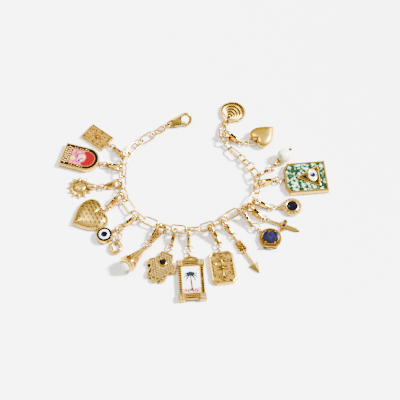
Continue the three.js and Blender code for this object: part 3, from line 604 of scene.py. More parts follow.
def make_looks():
    """Every look under its short name."""
    return {
        # Each gold's third colour is the painted shade that darkens its hollows
        "polished": gold(
            "polished_gold", (0.68, 0.42, 0.06), (0.58, 0.36, 0.04), (0.3, 0.27, 0.6), 0.2, 0.02, 3
        ),
        "cast": gold("cast_gold", (0.72, 0.44, 0.06), (0.58, 0.36, 0.035), (0.11, 0.09, 0.35), 0.28, 0.25, 4),
        "satin": gold("satin_gold", (0.64, 0.4, 0.03), (0.54, 0.33, 0.02), (0.4, 0.24, 0.05), 0.3, 0.15, 2),
        "crystal": enamel("pave_crystal", (0.12, 0.065, 0.015), (0.46, 0.31, 0.12), 2.0, 0.05),
        "black": enamel("black_enamel", (0.0012, 0.0008, 0.0008), (0.002, 0.0015, 0.0015)),
        "red": enamel("red_enamel", (0.11, 0.0001, 0.0012), (0.125, 0.0003, 0.002)),
        "pink": enamel("pink_enamel", (0.27, 0.025, 0.055), (0.38, 0.09, 0.1), 0.5),
        "violet": enamel("violet_enamel", (0.12, 0.003, 0.075), (0.24, 0.02, 0.13), 0.8),
        "cream": enamel("cream_enamel", (0.5, 0.24, 0.03), (0.6, 0.36, 0.11)),
        "plum": enamel("plum_enamel", (0.0087, 0.0002, 0.0227), (0.02, 0.001, 0.05)),
        "white": enamel("white_enamel", (0.78, 0.7, 0.6), (0.82, 0.76, 0.68)),
        "sky": enamel("sky_enamel", (0.4, 0.5, 0.8), (0.8, 0.82, 0.95)),
        "blush": enamel("blush_enamel", (0.45, 0.14, 0.13), (0.6, 0.28, 0.22), 0.6),
        "teal": enamel("teal_enamel", (0.0054, 0.0111, 0.0111), (0.01, 0.018, 0.018)),
        "blue": enamel("blue_enamel", (0.0043, 0.0111, 0.059), (0.01, 0.02, 0.1)),
        "green": mottled("green_enamel"),
        "pearl": pearl_look("pearl_lustre"),
        "gem": gem("blue_gem", (0.0012, 0.0008, 0.006), (0.005, 0.0025, 0.028), 0.45),
        "navy": gem("navy_stone", (0.001, 0.001, 0.002), (0.002, 0.002, 0.005), 0.12),
        "ruby": gem("dark_red_stone", (0.0227, 0.0026, 0.0043), (0.03, 0.002, 0.004), 0.3),
        "bronze": gold("dark_bronze", (0.16, 0.09, 0.018), (0.08, 0.04, 0.01), (0.3, 0.2, 0.1), 0.3, 0.05, 3),
    }


def add_object(name, data):
    made = bpy.data.objects.new(name, data)
    bpy.context.scene.collection.objects.link(made)
    return made


def solid_mesh(name, shapes, matrix=Matrix()):
    """A mesh of closed shapes, in metres, with its faces turned outwards."""
    points = []
    faces = []
    for shape_points, shape_faces in shapes:
        start = len(points)
        points += [(matrix @ Vector(p)) * MM for p in shape_points]
        faces += [tuple(start + i for i in face) for face in shape_faces]
    mesh = bpy.data.meshes.new(name)
    mesh.from_pydata(points, [], faces)
    work = bmesh.new()
    work.from_mesh(mesh)
    bmesh.ops.recalc_face_normals(work, faces=work.faces)
    work.to_mesh(mesh)
    work.free()
    return mesh


def piece(name, shapes, matrix, look, body=BASE, replaces=(), sharp=GOLD_CREASE):
    """One named piece of several closed shapes, placed and riding on its body."""
    mesh = solid_mesh(name, shapes, matrix)
    mesh.polygons.foreach_set("use_smooth", [True] * len(mesh.polygons))
    mesh.set_sharp_from_angle(angle=radians(sharp))
    mesh.materials.append(LOOKS[look])
    made = add_object(name, mesh)
    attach(made, body)
    if replaces:
        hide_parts(*replaces)


# Layout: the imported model's places


def along_route(points, steps=60):
    """A curve through the route's points."""
    knots = [Vector(p) for p in points]
    knots = [2 * knots[0] - knots[1], *knots, 2 * knots[-1] - knots[-2]]
    curve = []
    for p0, p1, p2, p3 in zip(knots, knots[1:], knots[2:], knots[3:]):
        d0, d1, d2 = (sqrt((b - a).length) for a, b in ((p0, p1), (p1, p2), (p2, p3)))
        t1 = ((p1 - p0) / d0 - (p2 - p0) / (d0 + d1) + (p2 - p1) / d1) * d1
        t2 = ((p2 - p1) / d1 - (p3 - p1) / (d1 + d2) + (p3 - p2) / d2) * d1
        for i in range(steps):
            t = i / steps
            rest = (3 * p2 - 3 * p1 - 2 * t1 - t2) * t * t + (2 * p1 - 2 * p2 + t1 + t2) * t**3
            curve.append(p1 + t1 * t + rest)
    return [*curve, knots[-2]]


def link_roll(i, count):
    if i == 0:
        return FIRST_ROLL
    if i == count - 1:
        return 0
    return ROLL_UP if i % 2 else ROLL_DOWN


def chain_links():
    """The links along the route, each with its size, centre and two of its own directions."""
    sizes = [LINK_SIZES[letter] for letter in LINKS]
    starts = [0.0]
    for (before, _), (after, _) in zip(sizes, sizes[1:]):
        starts.append(starts[-1] + (before + after) / 2 - 2 * CHAIN_WIRE + LINK_BITE)
    total = starts[-1]
    scale = total / lengths_along(along_route(ROUTE))[-1]
    curve = along_route([(x * scale, y * scale, z) for x, y, z in ROUTE])
    lengths = lengths_along(curve)
    made = []
    for i, (length, width) in enumerate(sizes):
        k, centre = point_at(curve, lengths, min(starts[i] / total * lengths[-1], lengths[-1] - 1e-6))
        along = (curve[k + 1] - curve[k]).normalized()
        across = Vector((along.y, -along.x, 0)).normalized()
        roll = radians(link_roll(i, len(sizes)))
        side = across * cos(roll) + across.cross(along) * sin(roll)
        made.append(Named(length=length, width=width, centre=centre, along=along, side=side))
    return made


def link_frame(one):
    frame = Matrix((one.along, one.side, one.along.cross(one.side))).transposed().to_4x4()
    frame.translation = one.centre
    return frame


def outer_wire(one, share):
    """A point on the outer side of a link, by its share of the straight part."""
    straight = (one.length - one.width) / 2
    return one.centre + one.side * ((one.width - CHAIN_WIRE) / 2) + one.along * (share * straight)


def link_end(one, way):
    """The middle of the wire at a link's end, backwards (-1) or forwards (1)."""
    return one.centre + one.along * (way * (one.length - CHAIN_WIRE) / 2)


def clasp_frame(hold, heading, lean, scale):
    """The clasp's own frame: hook centre at the origin, eye along +X, in the XY plane."""
    edge = CLASP_T / 2 * abs(sin(radians(lean)))
    hook_height = HOOK_R * cos(radians(lean)) + edge
    eye_height = EYE_R * cos(radians(lean)) + edge
    pitch = asin((hook_height - eye_height) / EYE_X)
    place = move(hold.x, hold.y, scale * (hook_height + HOOK_HOLD * sin(pitch))) @ Matrix.Scale(scale, 4)
    return place @ turn(heading) @ turn(degrees(pitch), "Y") @ move(HOOK_HOLD) @ turn(lean - 90, "X")


def clasp_frames(links):
    """Every clasp's frame; the main one hangs by its eye on the chain's first link."""
    frames = {}
    for name, (number, share, heading, _, lean, scale, _) in HANGERS.items():
        frames[name] = clasp_frame(outer_wire(links[number], share), heading, lean, scale)
    loose = clasp_frame(Vector(), MAIN_HEADING, MAIN_LEAN, BIG_CLASP)
    way = link_end(links[0], -1) - loose @ EYE
    frames["main"] = move(way.x, way.y) @ loose
    return frames


def ring_reach(radius):
    """From the clasp's eye to the charm's eyelet, over a jump ring."""
    return 2 * radius + EYELET_R - (EYELET_WIRE + RING_WIRE) / 2 + SOLDER


# Clasp


def tip_angle(radius):
    """Where a circle round the hook's centre meets the end of the gate, in degrees."""
    reach = LEVER_REACH + LEVER_GAP
    pivot = hypot(PIVOT.x, PIVOT.y)
    cosine = (radius**2 + pivot**2 - reach**2) / (2 * radius * pivot)
    return degrees(atan2(PIVOT.y, PIVOT.x) + acos(cosine))


def clasp_outline():
    return [
        *arc(0, 0, HOOK_R, tip_angle(HOOK_R), 264, 22),
        Vector((EYE_X * 0.55, -(HOOK_R + EYE_R) * 0.48)),
        *arc(EYE_X, 0, EYE_R, -95, 95, 14),
        Vector((EYE_X * 0.55, (HOOK_R + EYE_R) * 0.45)),
        Vector((HOOK_R * 0.72, HOOK_R * 0.76)),
        *arc(0, 0, HOOK_BORE, 31, tip_angle(HOOK_BORE) - 360, 26),
    ]


def cut(made, cutters):
    """Cuts shapes out of an object and returns the new mesh."""
    for i, shape in enumerate(cutters):
        modifier = made.modifiers.new(f"cut{i}", "BOOLEAN")
        modifier.operation = "DIFFERENCE"
        modifier.solver = "EXACT"
        modifier.object = add_object("cutter", solid_mesh("cutter", [shape]))
    bpy.context.view_layer.update()
    evaluated = made.evaluated_get(bpy.context.evaluated_depsgraph_get())
    result = bpy.data.meshes.new_from_object(evaluated)
    tools = [modifier.object for modifier in made.modifiers]
    for used in (made, *tools):
        bpy.data.objects.remove(used)
    return result


def block(x0, x1, z0, z1):
    """A box that is taller than the clasp along Y."""
    outline = box(x0, x1, -2 * HOOK_R, 2 * HOOK_R)
    return loft([level(outline, z0), level(outline, z1)])


def clasp_shapes():
    """The clasp's body with its lever slot and thin eye, and the lever's pin."""
    half = CLASP_T / 2
    slot_end = EYE_X - EYE_BORE - CHEEK_MARGIN
    far = EYE_X + 2 * EYE_R
    rounding = ((-1, 0.5), (-0.86, 0.22), (-0.5, 0), (0.5, 0), (0.86, 0.22), (1, 0.5))
    full = loft([level(clasp_outline(), half * share, amount) for share, amount in rounding])
    cutters = [
        block(PIVOT.x - LEVER_HUB - LEVER_GAP, slot_end - CHEEK_MARGIN / 2, -SLOT_T / 2, SLOT_T / 2),
        block(slot_end, far, EYE_T / 2, CLASP_T),
        block(slot_end, far, -CLASP_T, -EYE_T / 2),
        turned([(EYE_BORE, -CLASP_T), (EYE_BORE, CLASP_T)], 16, move(EYE_X)),
    ]
    result = cut(add_object("clasp", solid_mesh("clasp", [full])), cutters)
    body = ([v.co / MM for v in result.vertices], [tuple(p.vertices) for p in result.polygons])
    pin = profile(-half, (PIN_R * 0.8, -0.05), (PIN_R, 0.05))
    pin += profile(half, (PIN_R, -0.05), (PIN_R * 0.8, 0.05))
    return [body, turned(pin, 12, move(*PIVOT))]


def lever_shapes():
    """The gate, its hub and the thumb nub."""

    def along(angle, reach, offset=0.0):
        return (turn(angle) @ Vector((reach, offset, 0)) + PIVOT).to_2d()

    arm = LEVER_ARM / 2
    nub = NUB_WIDTH / 2
    gate_end = sqrt(LEVER_REACH**2 - arm**2)
    outline = [
        along(NUB_ANGLE, LEVER_HUB, -nub),
        along(NUB_ANGLE, NUB_REACH * 0.93, -nub * 0.5),
        along(NUB_ANGLE, NUB_REACH),
        along(NUB_ANGLE, NUB_REACH * 0.93, nub * 0.5),
        along(NUB_ANGLE, LEVER_HUB, nub),
        *[along(a, LEVER_HUB) for a in (-30, 0, 30, 60, 90)],
        along(GATE_ANGLE, gate_end, -arm),
        along(GATE_ANGLE, LEVER_REACH),
        along(GATE_ANGLE, gate_end, arm),
        *[along(GATE_ANGLE + a, LEVER_HUB) for a in (55, 80, 105)],
    ]
    return [slab(outline, -LEVER_T / 2, LEVER_T / 2, 0.16)]


# Charms: the eyelet's centre is at X 0, Y 0, the charm runs along +X and rests on z = 0


def eyelet(height, loop=EYELET_R):
    return ring(loop, EYELET_WIRE, move(0, 0, height) @ turn(90, "X"), 8, 20)


def loops(eye_height, radius):
    """The jump ring in the clasp's eye and the charm's eyelet that stands round it."""
    jump = ring(radius, RING_WIRE, move(radius - ring_reach(radius), 0, eye_height))
    return [jump, eyelet(max(eye_height, EYELET_R + EYELET_WIRE / 2))]


PLAQUE = Named(length=14.8, width=10, thick=1.9, rim=0.9, sunk=0.6)


def plaque():
    """A rectangle with scrolls, leaves and a middle flower in relief."""
    d = PLAQUE
    floor = d.thick - d.sunk
    middle = CHARM_START + d.length / 2
    outline = rectangle(CHARM_START, CHARM_START + d.length, d.width / 2)
    shapes = [tray(outline, d.rim * 0.6, floor, d.thick), *rosette(middle, 0, floor, 2.4, 0.8)]
    for way in (-1, 1):
        ends = sorted((middle + way * 2.2, middle + way * (d.length / 2 - d.rim)))
        shapes += filigree(rectangle(*ends, d.width / 2 - d.rim), floor + 0.2, 2.2, 4, 0.45)
    shapes += leaves((2.6, 1.5, 0.8), floor, [(middle, -3.3, 0), (middle, 3.3, 0)])
    return {"cast": shapes}


ARCH = Named(length=20.4, width=14.2, thick=2.8, rim=0.8, sunk=1.5, band=4.6, border=2.3)
# Leaves of the flower in the arch, from its middle: x, y, length, angle
PALE_PETALS = (
    (0.8, -1.8, 3.4, 25), (1.6, 0.2, 3.6, -30), (-0.6, 1.4, 3.0, 50), (3.0, -2.6, 2.6, 60), (0, 2.9, 2.4, 0),
)
DARK_PETALS = ((-1.4, 0.6, 2.4, 30), (-0.4, 2.0, 2.2, -20), (1.2, -0.8, 2.0, 70), (-0.6, -2.4, 1.8, 10))


def arch_outline(amount, end=0.0):
    """The arch's outline moved inwards, its flat end by a further amount."""
    radius = ARCH.width / 2
    x1 = CHARM_START + ARCH.length - amount - end
    r = radius - amount
    return arc(CHARM_START + radius, 0, r, 90, 270, 28) + polygon((x1, -r), (x1, r))


def arch():
    """A gold tray with a black border and band round an enamel picture of a flower over a red bow, with a
    paler patch on its pink that is a painted highlight.
    """
    d = ARCH
    low = d.thick - d.sunk + 0.3
    face = d.thick - 0.25
    radius = d.width / 2
    centre = CHARM_START + radius
    band_start = CHARM_START + d.length - d.band
    outer = radius - d.border - 0.3
    rng = random.Random(5)

    # A gold line round the picture, and marks along the black border
    marks = [hoop(arch_outline(d.border, d.band - d.border), face, 0.16)]
    for way in (-1, 1):
        y = way * (radius - (d.rim + d.border) / 2 - 0.1)
        spots = [(centre + 0.6 + k * 1.45, y, rng.choice((-50, 0, 40, 90))) for k in range(6)]
        marks += leaves((1.1, 0.75, 0.16), face, spots)

    # The band's cream spots
    cream = []
    for row in range(3):
        for k in range(9):
            x = band_start + 0.8 + row * 1.2 + rng.uniform(-0.1, 0.1)
            y = (k - 4) * 1.45 + 0.6 * (row % 2) + rng.uniform(-0.1, 0.1)
            if abs(y) < radius - 1.6:
                stretch = turn(rng.uniform(0, 180)) @ Matrix.Diagonal((1.2, 0.8, 1, 1))
                spot = ball(rng.uniform(0.4, 0.52), 0, 0, 0, 0.25, 8)
                cream.append(shaped(spot, move(x, y, face + 0.1) @ stretch))
    disc_x = band_start - 1.5
    cream.append(slab(arc(disc_x, 1.4, 1.4, 0, 340, 18), face, face + 0.2, 0.05))
    middle = centre + 3.8
    cream.append(leaf(1.8, 0.9, 0.25, disc_x + 0.2, -2.8, face, 80))
    cream.append(leaf(1.6, 0.8, 0.25, middle + 1.5, 3.9, face, 10))

    band = rectangle(band_start, band_start + d.band - d.rim - 0.35, radius - d.rim - 0.35)
    field = arch_outline(d.border + 0.15, d.band - d.border)
    bow = arc(centre, 0, outer, 70, 290, 26) + arc(centre + 3.4, 0, outer - 1.2, 250, 110, 24)
    half = outer - 1.9
    # A paler blush patch on the pink field: a painted highlight
    painted_highlight = arc(centre + 3.6, 0, outer - 1.6, 100, 260, 20)
    painted_highlight += polygon((centre + 4.6, -half), (centre + 4.6, half))
    return {
        "cast": [tray(arch_outline(0), d.rim, d.thick - d.sunk, d.thick)],
        "black": [slab(arch_outline(d.rim + 0.25), low, face, 0.1), slab(band, low, face + 0.06, 0.05)],
        "polished": marks,
        "cream": cream,
        "pink": [slab(field, face - 0.2, face + 0.05, 0.04)],
        "red": [slab(bow, face - 0.1, face + 0.12, 0.04)],
        # The blush patch is a painted highlight on the pink enamel
        "blush": [slab(painted_highlight, face - 0.1, face + 0.1, 0.03)],
        "violet": [leaf(long, 1.5, 0.22, middle + x, y, face, angle) for x, y, long, angle in PALE_PETALS],
        "plum": [leaf(long, 0.9, 0.36, middle + x, y, face, angle) for x, y, long, angle in DARK_PETALS],
    }


SUN = Named(radius=6.9, notch=5, rays=12, thick=1.4, bail=3.6, wide=1.8, narrow=1)


def sun_bail():
    """The tapered bail and the rows of stones on its upper half."""
    d = SUN
    lie = move(CHARM_START, 0, d.wide) @ turn(90, "Y")
    rows = [(d.narrow * 0.7, -0.6), (d.narrow, -0.4), (d.wide, d.bail * 0.55)]
    rows += [(d.narrow, d.bail + 1), (d.narrow * 0.7, d.bail + 1)]
    crystals = []
    for row in range(4):
        share = (row + 0.6) / 4
        r = d.narrow + (d.wide - d.narrow) * (share / 0.6 if share < 0.6 else (1 - share) / 0.4)
        for k in range(8):
            around_bail = turn(45 * (k + 0.5 * (row % 2))) @ move(r, 0, share * (d.bail + 0.6) - 0.2)
            place = lie @ around_bail @ turn(90, "Y")
            if place.translation.z > 1:
                crystals.append(shaped(stone(0.38, 0, 0, 0), place))
    return turned(rows, 24, lie), crystals


def sun():
    """Ridged rays round a swirled and stone-set middle, on a tapered bail set with stones."""
    d = SUN
    thick = d.thick
    centre = CHARM_START + d.bail + d.notch

    def star(share, z, tips=1.0):
        radii = (d.radius * share * tips, d.notch * share)
        spots = around(2 * d.rays, 1)
        return level([polar(radii[i % 2], spot[2], centre) for i, spot in enumerate(spots)], z)

    bail, crystals = sun_bail()
    dome = profile(thick, (3.6, -0.4 * thick), (3.4, 0), (2.6, 0.5), (1.4, 0.75), (0, 0.8))
    shapes = [loft([star(0.97, 0), star(1, 0.2), star(0.99, thick * 0.5), star(0.72, thick, 0.86)])]
    shapes += leaves((3.2, 1.7, 0.8), thick * 0.62, around(d.rays, 4.9, centre))
    shapes += [turned(dome, 32, move(centre)), bail]
    for x, y, angle in around(5, 2.5, centre):
        shapes += scroll(x, y, thick + 0.75, 0.85, angle + 60, 1, 1.0, 0.36)
    shapes += beads(arc(centre, 0, 3.7, 0, 350, 30), 0.36, thick + 0.25, 1.05)
    return {"cast": shapes, "crystal": [stone(0.7, centre, 0, thick + 0.95), *crystals]}


HEART = Named(length=18.4, width=19.4, thick=3.6)
# The heart's dome: share of the outline, share of the thickness
HEART_DOME = ((0.86, 0.48), (0.8, 0.58), (0.65, 0.72), (0.5, 0.81), (0.35, 0.87), (0.2, 0.9), (0.05, 0.91))


def heart_outline(x0, length, width, count=12):
    """A heart whose notch is near x0 and whose tip points along +X."""

    def at(x, y):
        return (x0 + x * length, y)

    shape = []
    for half in (-width / 2, width / 2):
        upper = bezier(at(0.1, 0), at(-0.06, half * 0.24), at(-0.06, half), at(0.3, half), count)
        run = upper + bezier(at(0.3, half), at(0.58, half), at(0.82, half * 0.34), at(1, 0), count)
        shape += [Vector(at(1, 0))] + run[:0:-1] if half > 0 else run
    return shape


def heart():
    """A domed heart with beads in dark curved lashes and a beaded border."""
    d = HEART
    x0 = CHARM_START - 0.1 * d.length
    outline = heart_outline(x0, d.length, d.width)
    centre = Vector((x0 + 0.42 * d.length, 0))
    sides = ((0, 0.3), (0.3, 0), (d.thick * 0.4, 0), (d.thick * 0.5, 0.3))
    rings = [level(outline, z, amount) for z, amount in sides]
    rings += [level(grown(outline, share, centre), d.thick * height) for share, height in HEART_DOME]
    shapes = [loft(rings), *beads(grown(outline, 0.94, centre), 0.55, d.thick * 0.5, 1.25)]
    field = grown(outline, 0.8, centre)
    row_pitch = 1.95
    pitch = 2.4
    radii = [0.12, 0.2, 0.26, 0.28, 0.28, 0.28, 0.26, 0.2, 0.12]
    lashes = []
    for row in range(-4, 5):
        for col in range(-4, 5):
            p = Vector((centre.x + row * row_pitch, (col + 0.5 * (row % 2)) * pitch))
            if not inside(field, p):
                continue
            share = next(s / 40 for s in range(2, 41) if inside(grown(outline, s / 40, centre), p))
            z = d.thick * between(HEART_DOME, share) + 0.02
            path = [(p.x - 0.75 * cos(radians(t)), p.y + sin(radians(t)), z) for t in range(-80, 81, 20)]
            lashes.append(tube(path, radii))
            shapes.append(ball(0.42, p.x + 0.15, p.y, z, 0.9, 8))
    return {"cast": shapes, "bronze": lashes}


EVIL_EYE = Named(radius=4.4, thick=3.2, rim=0.8, sunk=1.2, neck=1.6)


def evil_eye():
    """A gold bezel round a black, white and black glass eye."""
    d = EVIL_EYE
    centre = CHARM_START + d.neck + d.radius
    bore = d.radius - d.rim
    wide = bore + 0.2
    place = move(centre)
    bezel = [(d.radius * 0.93, 0), (d.radius, 0.35), (d.radius, d.thick - 0.3), (d.radius - 0.2, d.thick)]
    bezel += profile(d.thick, (bore + 0.35, 0), (bore + 0.25, -0.1), (bore + 0.25, -d.sunk))
    glass = profile(d.thick, (wide, 0.1 - d.sunk), (wide, -0.05), (wide * 0.93, 0.1), (0, 0.2))
    white = profile(d.thick, (2.75, 0), (2.75, 0.24), (2.6, 0.3), (0, 0.32))
    pupil = profile(d.thick, (1.75, 0.25), (1.75, 0.36), (1.5, 0.42), (0, 0.44))
    neck = slab(rectangle(EYELET_R, centre - bore, 1), 0.6, d.thick * 0.7, 0.3)
    return {
        "polished": [turned(bezel, 48, place), neck],
        "black": [turned(glass, 40, place), turned(pupil, 28, place)],
        "sky": [turned(white, 36, place)],
    }


TRUMPET = Named(length=15.2, throat=2.2, lift=0.6, collar=9.6, pearl=5.1, flutes=8)
# The trumpet's collar: share of the mouth's radius, share of the length
COLLAR = (
    (0.6, 0.74), (0.84, 0.75), (0.86, 0.8), (0.76, 0.82), (0.76, 0.86),
    (0.92, 0.88), (0.95, 0.93), (0.8, 0.95), (0.82, 0.99), (0.74, 1),
)


def trumpet():
    """A fluted cone with a stepped collar and a pearl in its mouth."""
    d = TRUMPET
    mouth = d.collar / 2
    pearl = d.pearl / 2
    rise = degrees(asin((mouth - d.throat / 2 - d.lift + 0.2) / d.length))
    lie = move(EYELET_R, 0, d.throat / 2 + d.lift) @ turn(90 - rise, "Y")
    cone = [(d.throat * 0.4, -0.6), (d.throat / 2, -0.3), (d.throat * 0.6, d.length * 0.15)]
    cone.append((mouth * 0.74, d.length * 0.8))
    collar = [(mouth * r, d.length * z) for r, z in COLLAR]
    collar += profile(d.length, (pearl * 1.05, 0), (pearl * 0.9, -0.5))
    shapes = [turned(cone, 64, lie, d.flutes, 0.06), turned(collar, 48, lie)]
    for i in range(3):
        shapes.append(ring(d.throat / 2 - 0.025, 0.45, lie @ move(0, 0, 0.6 * i - 0.2), 6, 20))
    return {"polished": shapes, "pearl": [shaped(ball(pearl, 0, 0, d.length + 0.1, 1, 24), lie)]}


HAMSA = Named(length=17.8, width=15.6, thick=2, stone=1.9, stone_at=0.34)
# One side of the hand: share of the length, share of half the width
HAND = (
    (0, 0.34), (0.05, 0.46), (0.24, 0.56), (0.34, 0.9), (0.46, 1), (0.58, 0.92), (0.54, 0.68),
    (0.82, 0.66), (0.92, 0.54), (0.93, 0.38), (0.9, 0.3), (0.98, 0.18), (1, 0),
)


def hamsa():
    """A hand set all over with small stones, with a black stone in its palm."""
    d = HAMSA
    thick = d.thick
    outline = smooth(mirrored(*[(CHARM_START + x * d.length, -y * d.width / 2) for x, y in HAND]), 3)
    eye = Vector((CHARM_START + d.stone_at * d.length, 0))
    field = inset(outline, 1.0)
    pitch = 1.45
    shapes = [tray(outline, 0.75, thick - 0.5, thick, 0.18)]
    crystals = []
    for row in range(18):
        for col in range(-6, 7):
            p = Vector((CHARM_START + 0.6 + row * pitch * 0.87, (col + 0.5 * (row % 2)) * pitch))
            if inside(field, p) and (p - eye).length > d.stone + 0.7:
                crystals.append(stone(0.5, p.x, p.y, thick - 0.3, 0.4))
                shapes.append(ball(0.28, p.x + 0.62, p.y + 0.36, thick - 0.3, 1, 6))

    # Lines between the fingers
    start = CHARM_START + 0.6 * d.length
    for y in (-0.22 * d.width, 0.22 * d.width):
        shapes.append(tube([(start + k * 1.5, y * (1 - 0.04 * k), thick - 0.1) for k in range(4)], 0.34))
    radius = d.stone * 0.85
    bezel = profile(thick, (radius + 0.5, -0.6), (radius + 0.45, 0.3), (radius + 0.15, 0.5), (radius, 0.2))
    dark = profile(thick, (radius, 0), (radius, 0.45), (radius * 0.6, 0.85), (0, 0.88))
    place = move(eye.x)
    shapes.append(turned(bezel, 24, place))
    return {"cast": shapes, "crystal": crystals, "navy": [turned(dark, 10, place)]}


PALM = Named(
    length=22.8, width=13.2, thick=2.6, rim=1.7, sunk=1.3,
    block=3.7, block_out=0.6, picture=15.4, bail=2.6,
)


def palm():
    """A columned frame with stone-set corner blocks round an enamel picture of a palm tree."""
    d = PALM
    half = d.width / 2
    x0 = CHARM_START + d.bail
    x1 = x0 + d.length
    near = x0 + (d.length - d.picture) / 2
    far = near + d.picture
    floor = d.thick - d.sunk
    plates = ((x0 + 0.8, near), (far, x1 - 0.8))
    frame = [slab(rectangle(*ends, half), 0, d.thick - 0.4, 0.2) for ends in plates]
    frame.append(slab(rectangle(near - 0.3, far + 0.3, half - 0.3), 0, floor, 0.2))
    frame.append(hoop(cornered(rectangle(near, far, half - d.rim)), d.thick - 0.3, 0.3))
    columns, dark = palm_columns(near, far, half)
    crystals = []
    for start in (x0, x1 - d.block):
        blocks, stones = palm_blocks(start, half)
        frame += blocks
        crystals += stones
    frame += columns + palm_crown(x0, half)
    picture = palm_picture(near, far, half - d.rim, floor)
    return {"cast": frame, "bronze": dark, "crystal": crystals, **picture}


def palm_columns(near, far, half):
    """Round beads in a dark channel on one side, slanted leaves on the other."""
    thick, rim = PALM.thick, PALM.rim
    relief = []
    dark = []
    for way in (-1, 1):
        y = way * (half - rim / 2)
        dark.append(slab(box(near - 0.3, far + 0.3, y - rim / 2, y + rim / 2), 0, thick - 0.8, 0.2))
        for i in range(12):
            x = near + (far - near) * (i + 0.5) / 12
            if way < 0:
                relief.append(ball(0.5, x, y, thick - 0.65, 1, 8))
            else:
                relief.append(leaf(2.3, 0.95, 0.8, x, y, thick - 0.9, 60))
        outer = y + way * (rim / 2 - 0.2)
        relief.append(tube([(near - 0.3, outer, thick - 0.5), (far + 0.3, outer, thick - 0.5)], 0.25))
    return relief, dark


def palm_blocks(start, half):
    """Two corner blocks set with stones, and the bars and beads between them."""
    thick, size = PALM.thick, PALM.block
    h = size / 2
    frame = []
    crystals = []
    for way in (-1, 1):
        y = way * (half - h + PALM.block_out)
        outline = box(start, start + size, y - h, y + h)
        frame.append(slab(outline, 0, thick + 0.05, 0.2))
        frame += beads(inset(outline, 0.4), 0.3, thick + 0.05, 0.75)
        for i, j in ((-1, -1), (-1, 1), (1, -1), (1, 1)):
            crystals.append(stone(0.62, start + h + i * 0.68, y + j * 0.68, thick + 0.1, 0.25))
    for k in range(3):
        x = start + size * (0.2 + 0.3 * k)
        frame.append(tube([(x, size - half, thick - 0.3), (x, half - size, thick - 0.3)], 0.42, False, 8))
    frame += [ball(0.4, start + h, k * 0.9, thick, 0.8, 8) for k in range(-2, 3)]
    return frame, crystals


def palm_crown(x0, half):
    """The round crown that carries the eyelet."""
    thick = PALM.thick
    bends = [radians(a) for a in range(180, -1, -12)]
    dome = polygon(*[(x0 + 1 - 2.7 * sin(a), 0.7 * half * cos(a)) for a in bends])
    made = [slab(dome[::-1], 0.3, thick - 0.8, 0.2), tube(level(dome, thick - 0.75), 0.5, False, 8)]
    made.append(slab(rectangle(CHARM_START - SOLDER, x0, 0.9), 0.3, thick - 0.8, 0.2))
    for way in (-1, 1):
        made += scroll(x0 + 0.5, way * half * 0.3, thick - 0.6, 0.9, 90 * way, way, 1.1, 0.36)
    return [*made, ball(0.8, x0 - 0.2, 0, thick - 0.6, 0.8, 10)]


def palm_picture(near, far, half, floor):
    """White enamel with a palm tree, low bushes and pink ground."""
    face = PALM.thick - 0.35
    ground = far - 3.2
    edge = half - 0.3
    hill = polygon((ground + 0.4, -edge), (far - 0.3, -edge), (far - 0.3, edge), (ground, edge))
    top = near + 4.2
    trunk = []
    for i in range(8):
        t = i / 7
        trunk.append((top + (ground + 1.4 - top) * t, 0.5 * sin(2.2 * t) * t - 0.2, face + 0.03))
    teal = [tube(trunk, [0.3 + 0.12 * i / 7 for i in range(8)])]
    for angle in (-170, -138, -108, -75, -42, 42, 75, 108, 138, 170):
        reach = 3.5 if abs(angle) < 120 else 2.6
        frond = []
        for i in range(7):
            t = i / 6
            x = top + reach * t * cos(radians(angle)) + 1.6 * t * t
            frond.append((x, reach * 1.1 * t * sin(radians(angle)) - 0.2, face + 0.05))
        teal.append(tube(frond, [0.2, 0.36, 0.44, 0.42, 0.36, 0.26, 0.12]))
    for k in range(6):
        x = ground + 1.3 + 0.5 * (k % 2)
        y = (k - 2.5) * 1.2
        teal += leaves((1.5, 0.7, 0.15), face, [(x, y, 145), (x, y, 215)])
    white = slab(rectangle(near + 0.25, far - 0.25, half - 0.25), floor + 0.2, face, 0.05)
    return {"white": [white], "blush": [slab(hill, face - 0.1, face + 0.03, 0.02)], "teal": teal}


OCTAGON = Named(length=18.4, width=13, clip=2.2, thick=2, rim=0.9, sunk=0.6)
# Leaves in each quarter of the octagon, from its middle: x, y, angle
OCTAGON_LEAVES = ((1.0, 4.6, 20), (3.7, 4.7, -15), (7.4, 3.2, 50), (3.9, 1.7, 40), (0.9, 2.2, 70))


def octagon():
    """A clipped rectangle with a rounded rim and scrollwork."""
    d = OCTAGON
    x0 = CHARM_START
    x1 = x0 + d.length
    h = d.width / 2
    outline = mirrored((x0, d.clip - h), (x0 + d.clip, -h), (x1 - d.clip, -h), (x1, d.clip - h))
    floor = d.thick - d.sunk
    middle = (x0 + x1) / 2
    shapes = [tray(outline, d.rim, floor, d.thick - 0.2), *rosette(middle, 0, floor, 2.2, 0.9)]
    shapes.append(hoop(cornered(inset(outline, 0.6)), d.thick - 0.45, 0.55, 8))
    for sx in (-1, 1):
        shapes.append(leaf(4.0, 1.9, 0.9, middle + sx * 3.8, 0, floor, 0))
        shapes.append(leaf(2.4, 1.8, 0.8, middle + sx * 6.9, 0, floor, 90))
        for sy in (-1, 1):
            hand = sx * sy
            shapes += scroll(middle + sx * 2.2, sy * 2.9, floor + 0.2, 1.45, 90 + 90 * sx, -hand, 1.2, 0.45)
            shapes += scroll(middle + sx * 5.4, sy * 3.0, floor + 0.2, 1.4, 90 * sy, hand, 1.2, 0.42)
            spots = [(middle + sx * x, sy * y, angle * hand) for x, y, angle in OCTAGON_LEAVES]
            shapes += leaves((2.0, 1.1, 0.75), floor, spots)
    return {"cast": shapes}


ARROW = Named(length=21.4, shaft=1.5, head=5.8, head_length=6, feather=8, feather_width=5.4, thick=2)


